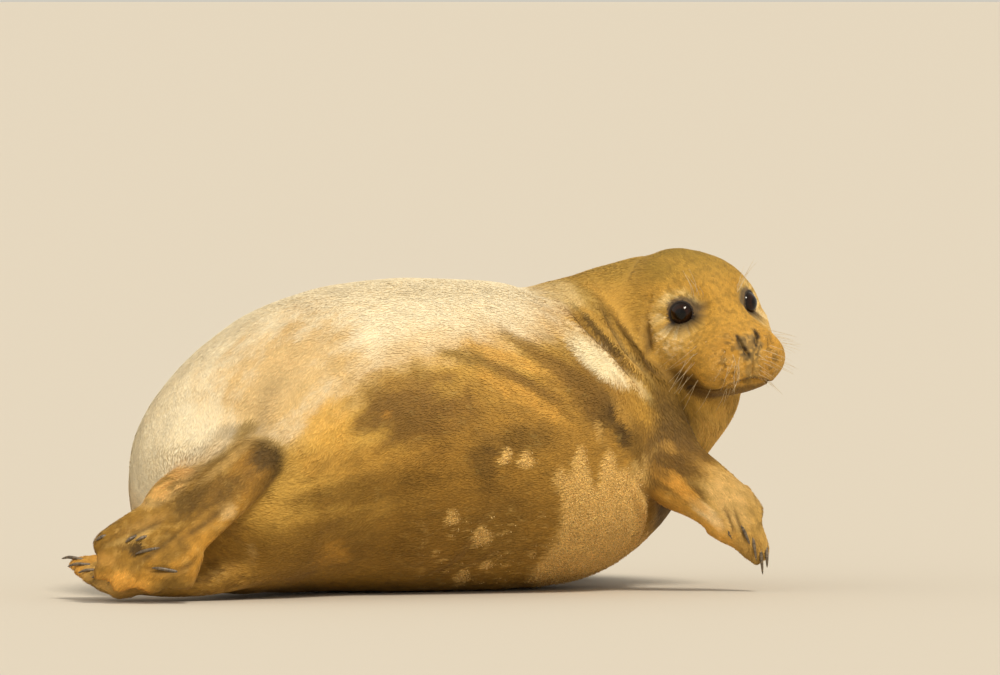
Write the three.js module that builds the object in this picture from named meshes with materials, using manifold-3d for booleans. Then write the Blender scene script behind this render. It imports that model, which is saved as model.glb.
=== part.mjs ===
// A life-size grey seal (Halichoerus grypus): a young female lying rolled a little onto its left side, with its chest
// raised, its head turned back over the right shoulder and its hind flippers folded together.
// Millimetres, +Z up, floor at z = 0. +X runs from rump to chest, and -Y is the side that the face turns to.
// The body is one loft along the spine, parted across it. The head, tail and flippers are lofts that meet it with a gap.
import * as THREE from "three";
import Module from "manifold-3d";
import { mergeVertices } from "three/addons/utils/BufferGeometryUtils.js";

const wasm = await Module();
wasm.setup();

// ---------------------------------------------------------------- driving sizes
const GAP = 0.4; // between neighbouring solids

// Stations of the body from rump to neck: centre, then half sizes to the side, up and down.
const BODY = [
  { at: [-310, -326, 120], half: [56, 44, 44] },
  { at: [-295, -286, 130], half: [106, 96, 106] },
  { at: [-270, -230, 144], half: [153, 142, 148] },
  { at: [-230, -160, 172], half: [186, 180, 180] },
  { at: [-172, -90, 198], half: [210, 212, 204] },
  { at: [-90, -35, 210], half: [234, 226, 218] },
  { at: [10, 12, 212], half: [248, 228, 222] },
  { at: [110, 48, 214], half: [244, 220, 222] },
  { at: [200, 78, 232], half: [222, 204, 222] },
  { at: [272, 100, 276], half: [176, 188, 166] },
  { at: [338, 104, 332], half: [122, 154, 134] },
  { at: [390, 74, 380], half: [84, 108, 96] },
];
const BODY_SIDES = 30;
const RUMP_DOME = 0.1; // share of the spine over which the rump rounds off
const NECK_DOME = 0.1; // and the neck, inside the head
const NECK_END = 0.82; // how much of its width the neck keeps at its end
const PARTING = 0.0005; // share of the spine left free where the body is parted
// Where the body is parted, as shares of the spine, and how many rings each length has.
const LENGTHS = {
  hindquarters: { to: 0.3, rings: 11 },
  belly: { to: 0.56, rings: 7 },
  chest: { to: 0.8, rings: 7 },
  neck: { to: 1, rings: 6 },
};
// Soft swellings of the body: centre, reach and height.
const SWELLS = [
  { at: [285, -90, 110], reach: 95, height: 26 }, // fold of fat behind the near flipper
  { at: [350, 92, 474], reach: 72, height: 20 }, // nape, which runs level into the crown
  { at: [436, 62, 272], reach: 62, height: 16 }, // throat
];

// The head's frame: origin midway between the eyes, +Y to the nose, +X to the seal's right ear, +Z to the crown.
const HEAD = { at: [410, 22, 397], turn: 27.5, nod: 14.5, tilt: 7.5 };
// Stations from nape to nose: how far forward, half width, then top, bottom and widest place above the eyes.
// "peak" is the superellipse power of the upper half: lower is narrower at the brow.
const SKULL = [
  { forward: -96, wide: 66, top: 41, bottom: -70, widest: -18, peak: 2.1 },
  { forward: -70, wide: 82, top: 56, bottom: -90, widest: -28, peak: 2 },
  { forward: -40, wide: 91, top: 61, bottom: -102, widest: -42, peak: 1.9 },
  { forward: -14, wide: 93, top: 56, bottom: -108, widest: -52, peak: 1.8 },
  { forward: 12, wide: 85, top: 42, bottom: -111, widest: -50, peak: 1.65 },
  { forward: 38, wide: 76, top: 22, bottom: -113, widest: -54, peak: 1.6 },
  { forward: 62, wide: 69, top: 4, bottom: -112, widest: -56, peak: 1.7 },
  { forward: 86, wide: 65, top: -8, bottom: -101, widest: -58, peak: 2 },
  { forward: 108, wide: 50, top: -18, bottom: -80, widest: -56, peak: 2.3 },
];
const SKULL_SIDES = 30;
const SKULL_RINGS = 17;
const SKULL_BACK = 0.14; // shares of the head's length over which its ends round off
const SKULL_FRONT = 0.12;
const SQUARE = 2.15; // superellipse power of the other sections
// Swellings and hollows of the face, the same on both sides: centre on the right side, reach and height.
const FACE_SWELLS = [
  { at: [54, 20, 3], reach: 28, height: -20 }, // eye socket
  { at: [40, 88, -60], reach: 26, height: 5 }, // whisker pad
];
const EYE_AT = [47.5, -5, -4];
const EYE_RADIUS = 19.5;

// Limbs: stations of centre, half width and half thickness, and the way that the limb's flat side faces. Digits run
// from the leading one to the trailing one, each with its tip and the root and tip of its claw.
const LIMBS = {
  fore_flipper_right: {
    faces: [0.1, -1, 0.1],
    stations: [
      { at: [250, 40, 270], half: [76, 46] },
      { at: [306, -36, 218], half: [68, 40] },
      { at: [350, -74, 172], half: [54, 28] },
      { at: [401, -76, 138], half: [44, 19] },
      { at: [444, -66, 102], half: [40, 13] },
      { at: [462, -60, 84], half: [33, 10] },
    ],
    digits: [
      { tip: [482, -56, 44], claw: [[481, -61, 64], [482, -66, 34]] },
      { tip: [470, -55, 36], claw: [[472, -64, 66], [476, -62, 24]] },
      { tip: [459, -60, 50], claw: [[460, -68, 86], [467, -70, 44]] },
      { tip: [446, -57, 66], claw: [[445, -75, 96], [458, -72, 66]] },
      { tip: [429, -60, 80], claw: [[421, -80, 96], [434, -74, 72]] },
    ],
    digit: { half: 10, clawHalf: 3.8 },
  },
  fore_flipper_left: {
    faces: [0, 0.1, 1],
    floor: 0,
    stations: [
      { at: [222, 190, 108], half: [66, 50] },
      { at: [208, 270, 66], half: [62, 36] },
      { at: [178, 340, 34], half: [52, 24] },
      { at: [144, 396, 18], half: [45, 17] },
      { at: [118, 436, 12], half: [42, 13] },
      { at: [106, 452, 11], half: [34, 10] },
    ],
    digits: [
      { tip: [116, 508, 10], claw: [[121, 496, 17], [110, 528, 8]] },
      { tip: [100, 506, 10], claw: [[104, 494, 16], [92, 526, 8]] },
      { tip: [82, 492, 10], claw: [[87, 480, 16.5], [73, 510, 8]] },
      { tip: [70, 470, 10], claw: [[75, 461, 16.5], [58, 486, 8]] },
      { tip: [66, 442, 10], claw: [[70, 436, 16.5], [52, 456, 8]] },
    ],
    digit: { half: 10, clawHalf: 3.8 },
  },
  hind_flipper_right: {
    faces: [-0.2, -0.9, 0.35],
    floor: 0,
    stations: [
      { at: [-190, -240, 200], half: [36, 32] },
      { at: [-221, -304, 197], half: [40, 30] },
      { at: [-263, -334, 162], half: [45, 24] },
      { at: [-314, -350, 121], half: [51, 18] },
      { at: [-358, -358, 82], half: [56, 15] },
      { at: [-388, -362, 62], half: [50, 13] },
    ],
    digits: [
      { tip: [-448, -356, 73], claw: [[-431, -360, 93], [-445, -360, 86]] },
      { tip: [-448, -366, 35], claw: [[-390, -364, 92], [-404, -370, 84]] },
      { tip: [-420, -372, 17], claw: [[-372, -364, 93], [-390, -372, 86]] },
      { tip: [-374, -374, 14], claw: [[-362, -374, 76], [-391, -375, 68]] },
      { tip: [-328, -368, 19], claw: [[-340, -383, 46], [-368, -384, 50]] },
    ],
    digit: { half: 16, clawHalf: 3.6 },
  },
  hind_flipper_left: {
    faces: [0, -0.4, 0.9],
    floor: 0,
    stations: [
      { at: [-190, -200, 88], half: [46, 40] },
      { at: [-236, -242, 60], half: [48, 38] },
      { at: [-296, -264, 38], half: [48, 26] },
      { at: [-360, -270, 32], half: [50, 18] },
      { at: [-420, -270, 37], half: [46, 13] },
      { at: [-446, -269, 42], half: [38, 11] },
    ],
    digits: [
      { tip: [-488, -254, 48], claw: [[-472, -256, 56], [-496, -254, 56]] },
      { tip: [-480, -272, 40], claw: [[-462, -273, 49], [-487, -273, 46]] },
      { tip: [-466, -287, 31], claw: [[-447, -286, 41.5], [-472, -288, 38]] },
      { tip: [-448, -300, 23], claw: [[-429, -297, 36], [-453, -301, 32]] },
      { tip: [-428, -312, 16], claw: [[-408, -308, 28], [-431, -312, 25]] },
    ],
    digit: { half: 14, clawHalf: 3.6 },
  },
};
const LIMB_SIDES = 12;
const LIMB_RINGS = 9;
const DIGIT_SIDES = 7;
const DIGIT_RINGS = 5;
const DIGIT_START = 0.7; // share of the palm at which the digits leave it
const DIGIT_FAN = 0.82; // how far across the palm the outer digits start
const CLAW_SIDES = 5;
const TAIL = {
  faces: [-0.2, -0.5, 0.85],
  stations: [
    { at: [-256, -262, 186], half: [31, 17] },
    { at: [-297, -303, 180], half: [27, 15] },
    { at: [-341, -328, 161], half: [22, 12] },
    { at: [-380, -342, 137], half: [14, 9] },
  ],
};

// ---------------------------------------------------------------- making solids
function toSolid(geometry) {
  const bare = geometry.clone();
  bare.deleteAttribute("normal");
  bare.deleteAttribute("uv");
  const merged = mergeVertices(bare, 1e-3);
  return new wasm.Manifold(
    new wasm.Mesh({
      numProp: 3,
      vertProperties: merged.attributes.position.array,
      triVerts: new Uint32Array(merged.index.array),
    }),
  );
}

function toGeometry(solid) {
  const mesh = solid.getMesh();
  const places = new Float32Array(mesh.numVert * 3);
  for (let i = 0; i < mesh.numVert; i++) {
    places.set(mesh.vertProperties.subarray(i * mesh.numProp, i * mesh.numProp + 3), i * 3);
  }
  const geometry = new THREE.BufferGeometry();
  geometry.setAttribute("position", new THREE.BufferAttribute(places, 3));
  geometry.setIndex(new THREE.BufferAttribute(new Uint32Array(mesh.triVerts), 1));
  geometry.computeVertexNormals();
  return geometry;
}

// A closed skin over rings of points, each ring an array of as many Vector3, capped at both ends.
function skinOver(rings) {
  const sides = rings[0].length;
  const places = rings.flat();
  const faces = [];
  for (let r = 0; r + 1 < rings.length; r++) {
    for (let s = 0; s < sides; s++) {
      const a = r * sides + s;
      const b = r * sides + ((s + 1) % sides);
      faces.push(a, b, a + sides, b, b + sides, a + sides);
    }
  }
  [0, rings.length - 1].forEach((r) => {
    const middle = rings[r].reduce((sum, p) => sum.add(p), new THREE.Vector3()).divideScalar(sides);
    const tip = places.push(middle) - 1;
    for (let s = 0; s < sides; s++) {
      const a = r * sides + s;
      const b = r * sides + ((s + 1) % sides);
      faces.push(...(r === 0 ? [tip, b, a] : [tip, a, b]));
    }
  });
  const geometry = new THREE.BufferGeometry().setFromPoints(places);
  geometry.setIndex(faces);
  const solid = toSolid(geometry);
  if (solid.status() !== "NoError" || solid.volume() <= 0) {
    throw new Error("bad loft: " + solid.status() + ", volume " + solid.volume());
  }
  return solid;
}

const vector = (p) => new THREE.Vector3(...p);
const smoothCurve = (points) => new THREE.CatmullRomCurve3(points.map(vector), false, "catmullrom", 0.5);
const power = (value, square = SQUARE) => Math.sign(value) * Math.abs(value) ** (2 / square);
// The height that soft swellings add at a place.
const swellAt = (swells, place) =>
  swells.reduce((sum, s) => sum + s.height * Math.exp(-((place.distanceTo(vector(s.at)) / s.reach) ** 2)), 0);
// 1 along a loft, falling to a rounded end as "left" goes from 1 to 0.
const dome = (left) => (left < 1 ? Math.sqrt(Math.max(0.003, 1 - (1 - left) ** 2)) : 1);

// ---------------------------------------------------------------- body
const spine = smoothCurve(BODY.map((s) => s.at));
const girth = smoothCurve(BODY.map((s) => s.half));

function bodyRing(share, grow) {
  const centre = spine.getPoint(share);
  const along = spine.getTangent(share);
  const side = new THREE.Vector3().crossVectors(along, new THREE.Vector3(0, 0, 1)).normalize();
  const up = new THREE.Vector3().crossVectors(side, along);
  const neckEnd = NECK_END + (1 - NECK_END) * dome((1 - share) / NECK_DOME);
  const half = girth.getPoint(share).multiplyScalar(dome(share / RUMP_DOME) * neckEnd);
  const ring = [];
  for (let i = 0; i < BODY_SIDES; i++) {
    const turn = (-2 * Math.PI * i) / BODY_SIDES;
    const rise = Math.sin(turn) > 0 ? half.y : half.z;
    const spoke = side.clone().multiplyScalar(half.x * Math.cos(turn)).addScaledVector(up, rise * Math.sin(turn));
    const place = centre.clone().add(spoke);
    place.addScaledVector(spoke.normalize(), swellAt(SWELLS, place) + grow);
    place.z = Math.max(place.z, -grow);
    ring.push(place);
  }
  return ring;
}

// The shares of the spine at which each length of the body has its rings.
const bodyShares = {};
let parting = 0;
for (const [name, { to, rings }] of Object.entries(LENGTHS)) {
  bodyShares[name] = Array.from({ length: rings }, (_, i) => parting + ((to - parting) * i) / (rings - 1));
  parting = to + PARTING;
}
const bodyOver = (shares, grow = 0) => skinOver(shares.map((share) => bodyRing(share, grow)));

// ---------------------------------------------------------------- head
const headFrame = new THREE.Matrix4()
  .makeRotationFromEuler(
    new THREE.Euler(
      THREE.MathUtils.degToRad(-HEAD.nod),
      THREE.MathUtils.degToRad(HEAD.tilt),
      THREE.MathUtils.degToRad(180 + HEAD.turn),
      "ZXY",
    ),
  )
  .setPosition(...HEAD.at);
const skullPlan = smoothCurve(SKULL.map((s) => [s.forward, s.wide, s.widest]));
const skullRise = smoothCurve(SKULL.map((s) => [s.peak, s.top, s.bottom]));

function skullRing(share, grow) {
  const { x: forward, y: wide, z: widest } = skullPlan.getPoint(share);
  const { x: peak, y: top, z: bottom } = skullRise.getPoint(share);
  const round = Math.min(dome(share / SKULL_BACK), dome((1 - share) / SKULL_FRONT));
  const ring = [];
  for (let i = 0; i < SKULL_SIDES; i++) {
    const turn = (2 * Math.PI * i) / SKULL_SIDES;
    const upper = Math.sin(turn) > 0;
    const rise = upper ? top - widest : widest - bottom;
    const square = upper ? peak : SQUARE;
    const spoke = new THREE.Vector3(wide * power(Math.cos(turn), square), 0, rise * power(Math.sin(turn), square));
    const place = new THREE.Vector3(0, forward, widest).addScaledVector(spoke, round);
    const swell = swellAt(FACE_SWELLS, place) + swellAt(FACE_SWELLS, place.clone().setX(-place.x));
    ring.push(place.addScaledVector(spoke.normalize(), swell + grow).applyMatrix4(headFrame));
  }
  return ring.reverse();
}

function skull(grow = 0) {
  const rings = [];
  for (let i = 0; i < SKULL_RINGS; i++) {
    const even = i / (SKULL_RINGS - 1);
    const eased = 0.5 - 0.5 * Math.cos(Math.PI * even);
    rings.push(skullRing((even + eased) / 2, grow));
  }
  return skinOver(rings);
}

// ---------------------------------------------------------------- limbs
// A flattened loft along stations, with its tip rounded off over the given share.
function flatLoft({ stations, faces, sides, rings, tipEnd = 0.15, grow = 0, floor = -Infinity }) {
  const line = smoothCurve(stations.map((s) => s.at));
  const section = smoothCurve(stations.map((s) => [...s.half, 0]));
  const loops = [];
  for (let r = 0; r < rings; r++) {
    const share = Math.sin((Math.PI * r) / (rings - 1) / 2);
    const centre = line.getPoint(share);
    const along = line.getTangent(share);
    const broad = new THREE.Vector3().crossVectors(along, vector(faces)).normalize();
    const flat = new THREE.Vector3().crossVectors(broad, along);
    const { x: wide, y: thick } = section.getPoint(share);
    const round = dome((1 - share) / tipEnd);
    if (r === rings - 1) centre.addScaledVector(along, grow);
    const loop = [];
    for (let i = 0; i < sides; i++) {
      const turn = (-2 * Math.PI * i) / sides;
      const place = centre
        .clone()
        .addScaledVector(broad, (wide * round + grow) * power(Math.cos(turn)))
        .addScaledVector(flat, (thick * round + grow) * power(Math.sin(turn)));
      place.z = Math.max(place.z, floor);
      loop.push(place);
    }
    loops.push(loop);
  }
  return skinOver(loops);
}

// Where each digit leaves the palm, spread across it.
function digitRoots({ stations, faces, digits }) {
  const line = smoothCurve(stations.map((s) => s.at));
  const section = smoothCurve(stations.map((s) => [...s.half, 0]));
  const broad = new THREE.Vector3().crossVectors(line.getTangent(DIGIT_START), vector(faces)).normalize();
  const last = digits.length - 1;
  const leading = Math.sign(vector(digits[0].tip).sub(vector(digits[last].tip)).dot(broad));
  return digits.map((_, i) => {
    const across = leading * DIGIT_FAN * (1 - (2 * i) / last);
    return line.getPoint(DIGIT_START).addScaledVector(broad, across * section.getPoint(DIGIT_START).x);
  });
}

function flipper(limb, grow = 0) {
  const { faces, stations, digits, digit, floor } = limb;
  const palm = flatLoft({ stations, faces, floor, grow, sides: LIMB_SIDES, rings: LIMB_RINGS });
  const roots = digitRoots(limb);
  const fingers = digits.map(({ tip }, i) => {
    const along = vector(tip).sub(roots[i]);
    const knuckle = roots[i].clone().addScaledVector(along, 0.5);
    const joints = [
      { at: roots[i].toArray(), half: [digit.half * 0.9, digit.half * 0.8] },
      { at: knuckle.toArray(), half: [digit.half, digit.half] },
      { at: tip, half: [digit.half * 0.95, digit.half * 0.8] },
    ];
    return flatLoft({ stations: joints, faces, floor, grow, sides: DIGIT_SIDES, rings: DIGIT_RINGS, tipEnd: 0.25 });
  });
  return fingers.reduce((sum, finger) => sum.add(finger), palm);
}

function claw({ claw: [root, tip] }, { faces, digit: { clawHalf } }, grow = 0) {
  const bend = vector(root).lerp(vector(tip), 0.55).addScaledVector(vector(faces), clawHalf);
  const stations = [
    { at: root, half: [clawHalf, clawHalf] },
    { at: bend.toArray(), half: [clawHalf * 0.9, clawHalf] },
    { at: tip, half: [clawHalf * 0.25, clawHalf * 0.35] },
  ];
  return flatLoft({ stations, faces, grow, sides: CLAW_SIDES, rings: 3, tipEnd: 0.01 });
}

// ---------------------------------------------------------------- assembling
const COLOURS = { coat: 0xbfa67c, face: 0xc08f4f, limb: 0x8f7346, claw: 0x3a342c, eye: 0x140d08 };
const seal = new THREE.Group();

function add(name, solid, colour, roughness = 0.85) {
  const material = new THREE.MeshStandardMaterial({ color: colour, roughness, metalness: 0 });
  const mesh = new THREE.Mesh(toGeometry(solid), material);
  mesh.name = name;
  seal.add(mesh);
}

for (const [name, shares] of Object.entries(bodyShares)) {
  const solid = bodyOver(shares);
  add(name, name === "neck" ? solid.subtract(skull(GAP)) : solid, COLOURS.coat);
}
const eyes = { eye_right: 1, eye_left: -1 };
let face = skull();
for (const [name, side] of Object.entries(eyes)) {
  const centre = new THREE.Vector3(EYE_AT[0] * side, EYE_AT[1], EYE_AT[2]).applyMatrix4(headFrame);
  const ball = (radius) => toSolid(new THREE.SphereGeometry(radius, 16, 10).translate(...centre.toArray()));
  face = face.subtract(ball(EYE_RADIUS + GAP));
  add(name, ball(EYE_RADIUS), COLOURS.eye, 0.1);
}
add("head", face, COLOURS.face);

const wholeBody = bodyOver(Object.values(bodyShares).flat(), GAP);
for (const [name, limb] of Object.entries(LIMBS)) {
  let solid = flipper(limb).subtract(wholeBody);
  if (name === "hind_flipper_left") solid = solid.subtract(flipper(LIMBS.hind_flipper_right, GAP));
  limb.digits.forEach((digit, i) => {
    solid = solid.subtract(claw(digit, limb, GAP));
    add(`claw_${name.replace("flipper_", "")}_${i + 1}`, claw(digit, limb), COLOURS.claw, 0.5);
  });
  add(name, solid, COLOURS.limb);
}
const tail = flatLoft({ ...TAIL, sides: 16, rings: 9, tipEnd: 0.3 });
add("tail", tail.subtract(wholeBody).subtract(flipper(LIMBS.hind_flipper_right, GAP)), COLOURS.limb);

export default seal;
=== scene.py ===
# %% [markdown]
# # A grey seal at rest
# A young female grey seal lies with her head turned back over her right shoulder. A seal's body is one thick layer
# of fat in a tight skin, so it has no sharp edges anywhere, and a short coat of stiff hairs lies flat on it. The
# model follows that: one closed skin, then a coat of small locks laid on it, then eyes, claws and whiskers.

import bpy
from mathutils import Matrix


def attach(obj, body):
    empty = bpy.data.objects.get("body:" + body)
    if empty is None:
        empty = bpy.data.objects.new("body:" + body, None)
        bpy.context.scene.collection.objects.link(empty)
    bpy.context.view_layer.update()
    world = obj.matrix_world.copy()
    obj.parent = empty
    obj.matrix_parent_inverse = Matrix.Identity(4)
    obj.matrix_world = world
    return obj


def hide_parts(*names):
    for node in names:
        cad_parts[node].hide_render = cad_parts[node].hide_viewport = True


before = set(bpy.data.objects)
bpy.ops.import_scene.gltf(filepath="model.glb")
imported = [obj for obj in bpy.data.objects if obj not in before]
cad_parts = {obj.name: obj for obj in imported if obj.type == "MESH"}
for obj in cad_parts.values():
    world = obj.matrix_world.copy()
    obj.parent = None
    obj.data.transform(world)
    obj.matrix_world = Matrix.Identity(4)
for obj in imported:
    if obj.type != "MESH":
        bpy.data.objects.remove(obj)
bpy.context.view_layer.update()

# %% [markdown]
# Lengths below are millimetres, as animals are measured in, and one function turns them into Blender's metres.
# Colours are the hex codes of any paint program. Blender works in linear light, so they are turned once, here.

# %% Helpers for sizes, colours and meshes
import math

import bmesh
import bpy
import numpy as np
import openvdb
from mathutils.kdtree import KDTree

MM = 0.001
rng = np.random.default_rng(11)
scene = bpy.context.scene


def linear(hex_colour):
    parts = [int(hex_colour[i : i + 2], 16) / 255 for i in (1, 3, 5)]
    return np.array([p / 12.92 if p <= 0.04045 else ((p + 0.055) / 1.055) ** 2.4 for p in parts] + [1.0])


def unit(v):
    return v / np.maximum(np.linalg.norm(v, axis=-1, keepdims=True), 1e-9)


def smooth(x):
    x = np.clip(x, 0, 1)
    return x * x * (3 - 2 * x)


def make_piece(name, points, faces, material):
    """A mesh object from points in millimetres, with one material, that rides on the frame's only body."""
    points, faces = np.asarray(points, np.float32) * MM, np.asarray(faces, np.int32)
    mesh = bpy.data.meshes.new(name)
    mesh.vertices.add(len(points))
    mesh.vertices.foreach_set("co", points.ravel())
    mesh.loops.add(faces.size)
    mesh.loops.foreach_set("vertex_index", faces.ravel())
    mesh.polygons.add(len(faces))
    mesh.polygons.foreach_set("loop_start", np.arange(0, faces.size, faces.shape[1], dtype=np.int32))
    mesh.polygons.foreach_set("use_smooth", np.ones(len(faces), bool))
    mesh.update(calc_edges=True)
    mesh.materials.append(material)
    piece = bpy.data.objects.new(name, mesh)
    scene.collection.objects.link(piece)
    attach(piece, "root")
    return piece


def give(mesh, name, values):
    """Stores one number, vector or colour per point of a mesh, for its material to read."""
    values = np.asarray(values, np.float32)
    kinds = {1: ("FLOAT", "value"), 3: ("FLOAT_VECTOR", "vector"), 4: ("FLOAT_COLOR", "color")}
    kind, key = kinds[1 if values.ndim == 1 else values.shape[1]]
    mesh.attributes.new(name, kind, "POINT").data.foreach_set(key, values.ravel())


# %% [markdown]
# The parts of the body are lofts: a ring of points carried along a curve. The same stations and the same curve rule
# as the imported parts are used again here, only with many more points, so the fine skin follows the coarse solids.
# Catmull-Rom is the rule to know: it passes through every station, and each tangent is half the step between the
# two neighbours.

# %% Curves and lofts
def curve(stations, shares):
    stations = np.asarray(stations, float)
    ends = (2 * stations[:1] - stations[1:2], 2 * stations[-1:] - stations[-2:-1])
    padded = np.vstack([ends[0], stations, ends[1]])
    x = np.clip(np.atleast_1d(shares), 0, 1) * (len(stations) - 1)
    i = np.minimum(x.astype(int), len(stations) - 2)
    w = (x - i)[:, None]
    a, b, c, d = (padded[i + k] for k in range(4))
    start, end = (c - a) / 2, (d - b) / 2
    return b + start * w + (3 * (c - b) - 2 * start - end) * w**2 + (2 * (b - c) + start + end) * w**3


def tangent(stations, shares):
    shares = np.atleast_1d(shares)
    return unit(curve(stations, shares + 1e-4) - curve(stations, shares - 1e-4))


def power(value, square):
    return np.sign(value) * np.abs(value) ** (2 / square)


def dome(left):
    return np.where(left < 1, np.sqrt(np.maximum(0.003, 1 - (1 - np.minimum(left, 1)) ** 2)), 1)


def swell(points, swells):
    total = np.zeros(points.shape[:-1])
    for at, reach, height in swells:
        total += height * np.exp(-(((points - np.array(at)) ** 2).sum(-1)) / reach**2)
    return total


def loft(rings):
    """Points and triangles over rings of points, closed at both ends."""
    count, sides = rings.shape[:2]
    points = np.vstack([rings.reshape(-1, 3), rings[0].mean(0), rings[-1].mean(0)])
    r, s = np.meshgrid(np.arange(count - 1), np.arange(sides), indexing="ij")
    a, b = (r * sides + s).ravel(), (r * sides + (s + 1) % sides).ravel()
    walls = np.vstack([np.c_[a, b, a + sides], np.c_[b, b + sides, a + sides]])
    s = np.arange(sides)
    first, last = count * sides, (count - 1) * sides
    ends = [np.c_[np.full(sides, first), (s + 1) % sides, s]]
    ends.append(np.c_[np.full(sides, first + 1), last + s, last + (s + 1) % sides])
    return points, np.vstack([walls, *ends])


# %% [markdown]
# The trunk is widest at the belly and lies on its fat, flat along the floor. Each station gives the centre of the
# body, then the half sizes to the side, up and down. At the neck the curve climbs and turns to meet the head.

# %% Trunk
BODY = [
    ((-310, -326, 120), (56, 44, 44)),
    ((-295, -286, 130), (106, 96, 106)),
    ((-270, -230, 144), (153, 142, 148)),
    ((-230, -160, 172), (186, 180, 180)),
    ((-172, -90, 198), (210, 212, 204)),
    ((-90, -35, 210), (234, 226, 218)),
    ((10, 12, 212), (248, 228, 222)),
    ((110, 48, 214), (244, 220, 222)),
    ((200, 78, 232), (222, 204, 222)),
    ((272, 100, 276), (176, 188, 166)),
    ((338, 104, 332), (122, 154, 134)),
    ((390, 74, 380), (84, 108, 96)),
]
BODY_AT, BODY_HALF = [s[0] for s in BODY], [s[1] for s in BODY]
RUMP_DOME, NECK_DOME, NECK_END = 0.1, 0.1, 0.82
BODY_SWELLS = [
    ((285, -90, 110), 95, 26),  # fold of fat behind the near flipper
    ((350, 92, 474), 72, 20),  # nape, which runs level into the crown
    ((436, 62, 272), 62, 16),  # throat
]
BODY_CUTS = {"hindquarters": 0.3, "belly": 0.56, "chest": 0.8, "neck": 1.0}


def body_axes(shares):
    centre, along = curve(BODY_AT, shares), tangent(BODY_AT, shares)
    side = unit(np.cross(along, [0, 0, 1]))
    return centre, side, np.cross(side, along)


def body_surface(rings=220, sides=120):
    """The trunk's surface as rings of points, with the share along and the turn around of every point."""
    shares, turns = np.linspace(0, 1, rings), np.linspace(0, 2 * np.pi, sides, endpoint=False)
    centre, side, up = (v[:, None] for v in body_axes(shares))
    round_off = dome(shares / RUMP_DOME) * (NECK_END + (1 - NECK_END) * dome((1 - shares) / NECK_DOME))
    half = (curve(BODY_HALF, shares) * round_off[:, None])[:, None]
    rise = np.where(np.sin(turns) > 0, half[..., 1], half[..., 2])
    spoke = side * (half[..., :1] * np.cos(turns)[:, None]) + up * (rise * np.sin(turns))[..., None]
    points = centre + spoke
    points += unit(spoke) * swell(points, BODY_SWELLS)[..., None]
    points[..., 2] = np.maximum(points[..., 2], 0)
    return points, *np.meshgrid(shares, turns, indexing="ij")


trunk, trunk_share, trunk_turn = body_surface()
amount = (smooth((trunk_share - 0.2) / 0.1) * smooth((0.86 - trunk_share) / 0.06))[1:-1, :, None]
for _ in range(160):  # rings cross on the inside of a bend, and averaging each with its neighbours sorts them out
    trunk[1:-1] += 0.5 * amount * ((trunk[:-2] + trunk[2:]) / 2 - trunk[1:-1])


# %% [markdown]
# The head has its own frame, set midway between the eyes: x to the seal's right, y to the nose and z to the crown.
# A grey seal's head is long and level from crown to nose, deep at the cheeks, with wide-set eyes. The loft gives
# that outline, and "peak" makes the brow narrower than the jaw.

# %% Head
HEAD_AT, HEAD_TURN, HEAD_NOD, HEAD_TILT = np.array([410, 22, 397.0]), 27.5, 14.5, 7.5
SKULL = [  # forward, half width, widest height, peak, top, bottom
    (-96, 66, -18, 2.1, 41, -70),
    (-70, 82, -28, 2.0, 56, -90),
    (-40, 91, -42, 1.9, 61, -102),
    (-14, 93, -52, 1.8, 56, -108),
    (12, 85, -50, 1.65, 42, -111),
    (38, 76, -54, 1.6, 22, -113),
    (62, 69, -56, 1.7, 4, -112),
    (86, 65, -58, 2.0, -8, -101),
    (108, 50, -56, 2.3, -18, -80),
]
SQUARE = 2.15
FACE_SWELLS = [((s * 54, 20, 3), 28, -20) for s in (1, -1)] + [((s * 40, 88, -60), 26, 5) for s in (1, -1)]
EYE_AT, EYE_RADIUS = np.array([47.5, -5, -4]), 19.5


def turn_about(axis, degrees):
    c, s = math.cos(math.radians(degrees)), math.sin(math.radians(degrees))
    grid = {"x": [[1, 0, 0], [0, c, -s], [0, s, c]], "y": [[c, 0, s], [0, 1, 0], [-s, 0, c]]}
    grid["z"] = [[c, -s, 0], [s, c, 0], [0, 0, 1]]
    return np.array(grid[axis])


HEAD_TURNED = turn_about("z", 180 + HEAD_TURN) @ turn_about("x", -HEAD_NOD) @ turn_about("y", HEAD_TILT)


def from_head(points):
    return np.asarray(points, float) @ HEAD_TURNED.T + HEAD_AT


def to_head(points):
    return (np.asarray(points, float) - HEAD_AT) @ HEAD_TURNED


def head_loft(rings=110, sides=120):
    shares, turns = np.linspace(0, 1, rings), np.linspace(0, 2 * np.pi, sides, endpoint=False)
    plan, rises = curve([s[:3] for s in SKULL], shares), curve([s[3:] for s in SKULL], shares)
    round_off = np.minimum(dome(shares / 0.14), dome((1 - shares) / 0.12))[:, None]
    upper = np.sin(turns) > 0
    rise = np.where(upper, rises[:, 1:2] - plan[:, 2:], plan[:, 2:] - rises[:, 2:])
    square = np.where(upper, rises[:, :1], SQUARE)
    across, height = plan[:, 1:2] * power(np.cos(turns), square), rise * power(np.sin(turns), square)
    spoke = np.stack([across, np.zeros_like(across), height], -1)
    middle = np.stack([np.zeros(rings), plan[:, 0], plan[:, 2]], -1)[:, None]
    points = middle + spoke * round_off[..., None]
    points += unit(spoke) * swell(points, FACE_SWELLS)[..., None]
    return loft(from_head(points)[:, ::-1])


# %% [markdown]
# A flipper is a flat palm with five digits in one web. The digits are lofts of their own, spread across the end of
# the palm. The hind flippers are folded together, sole to sole, as a seal carries them on land.

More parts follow.
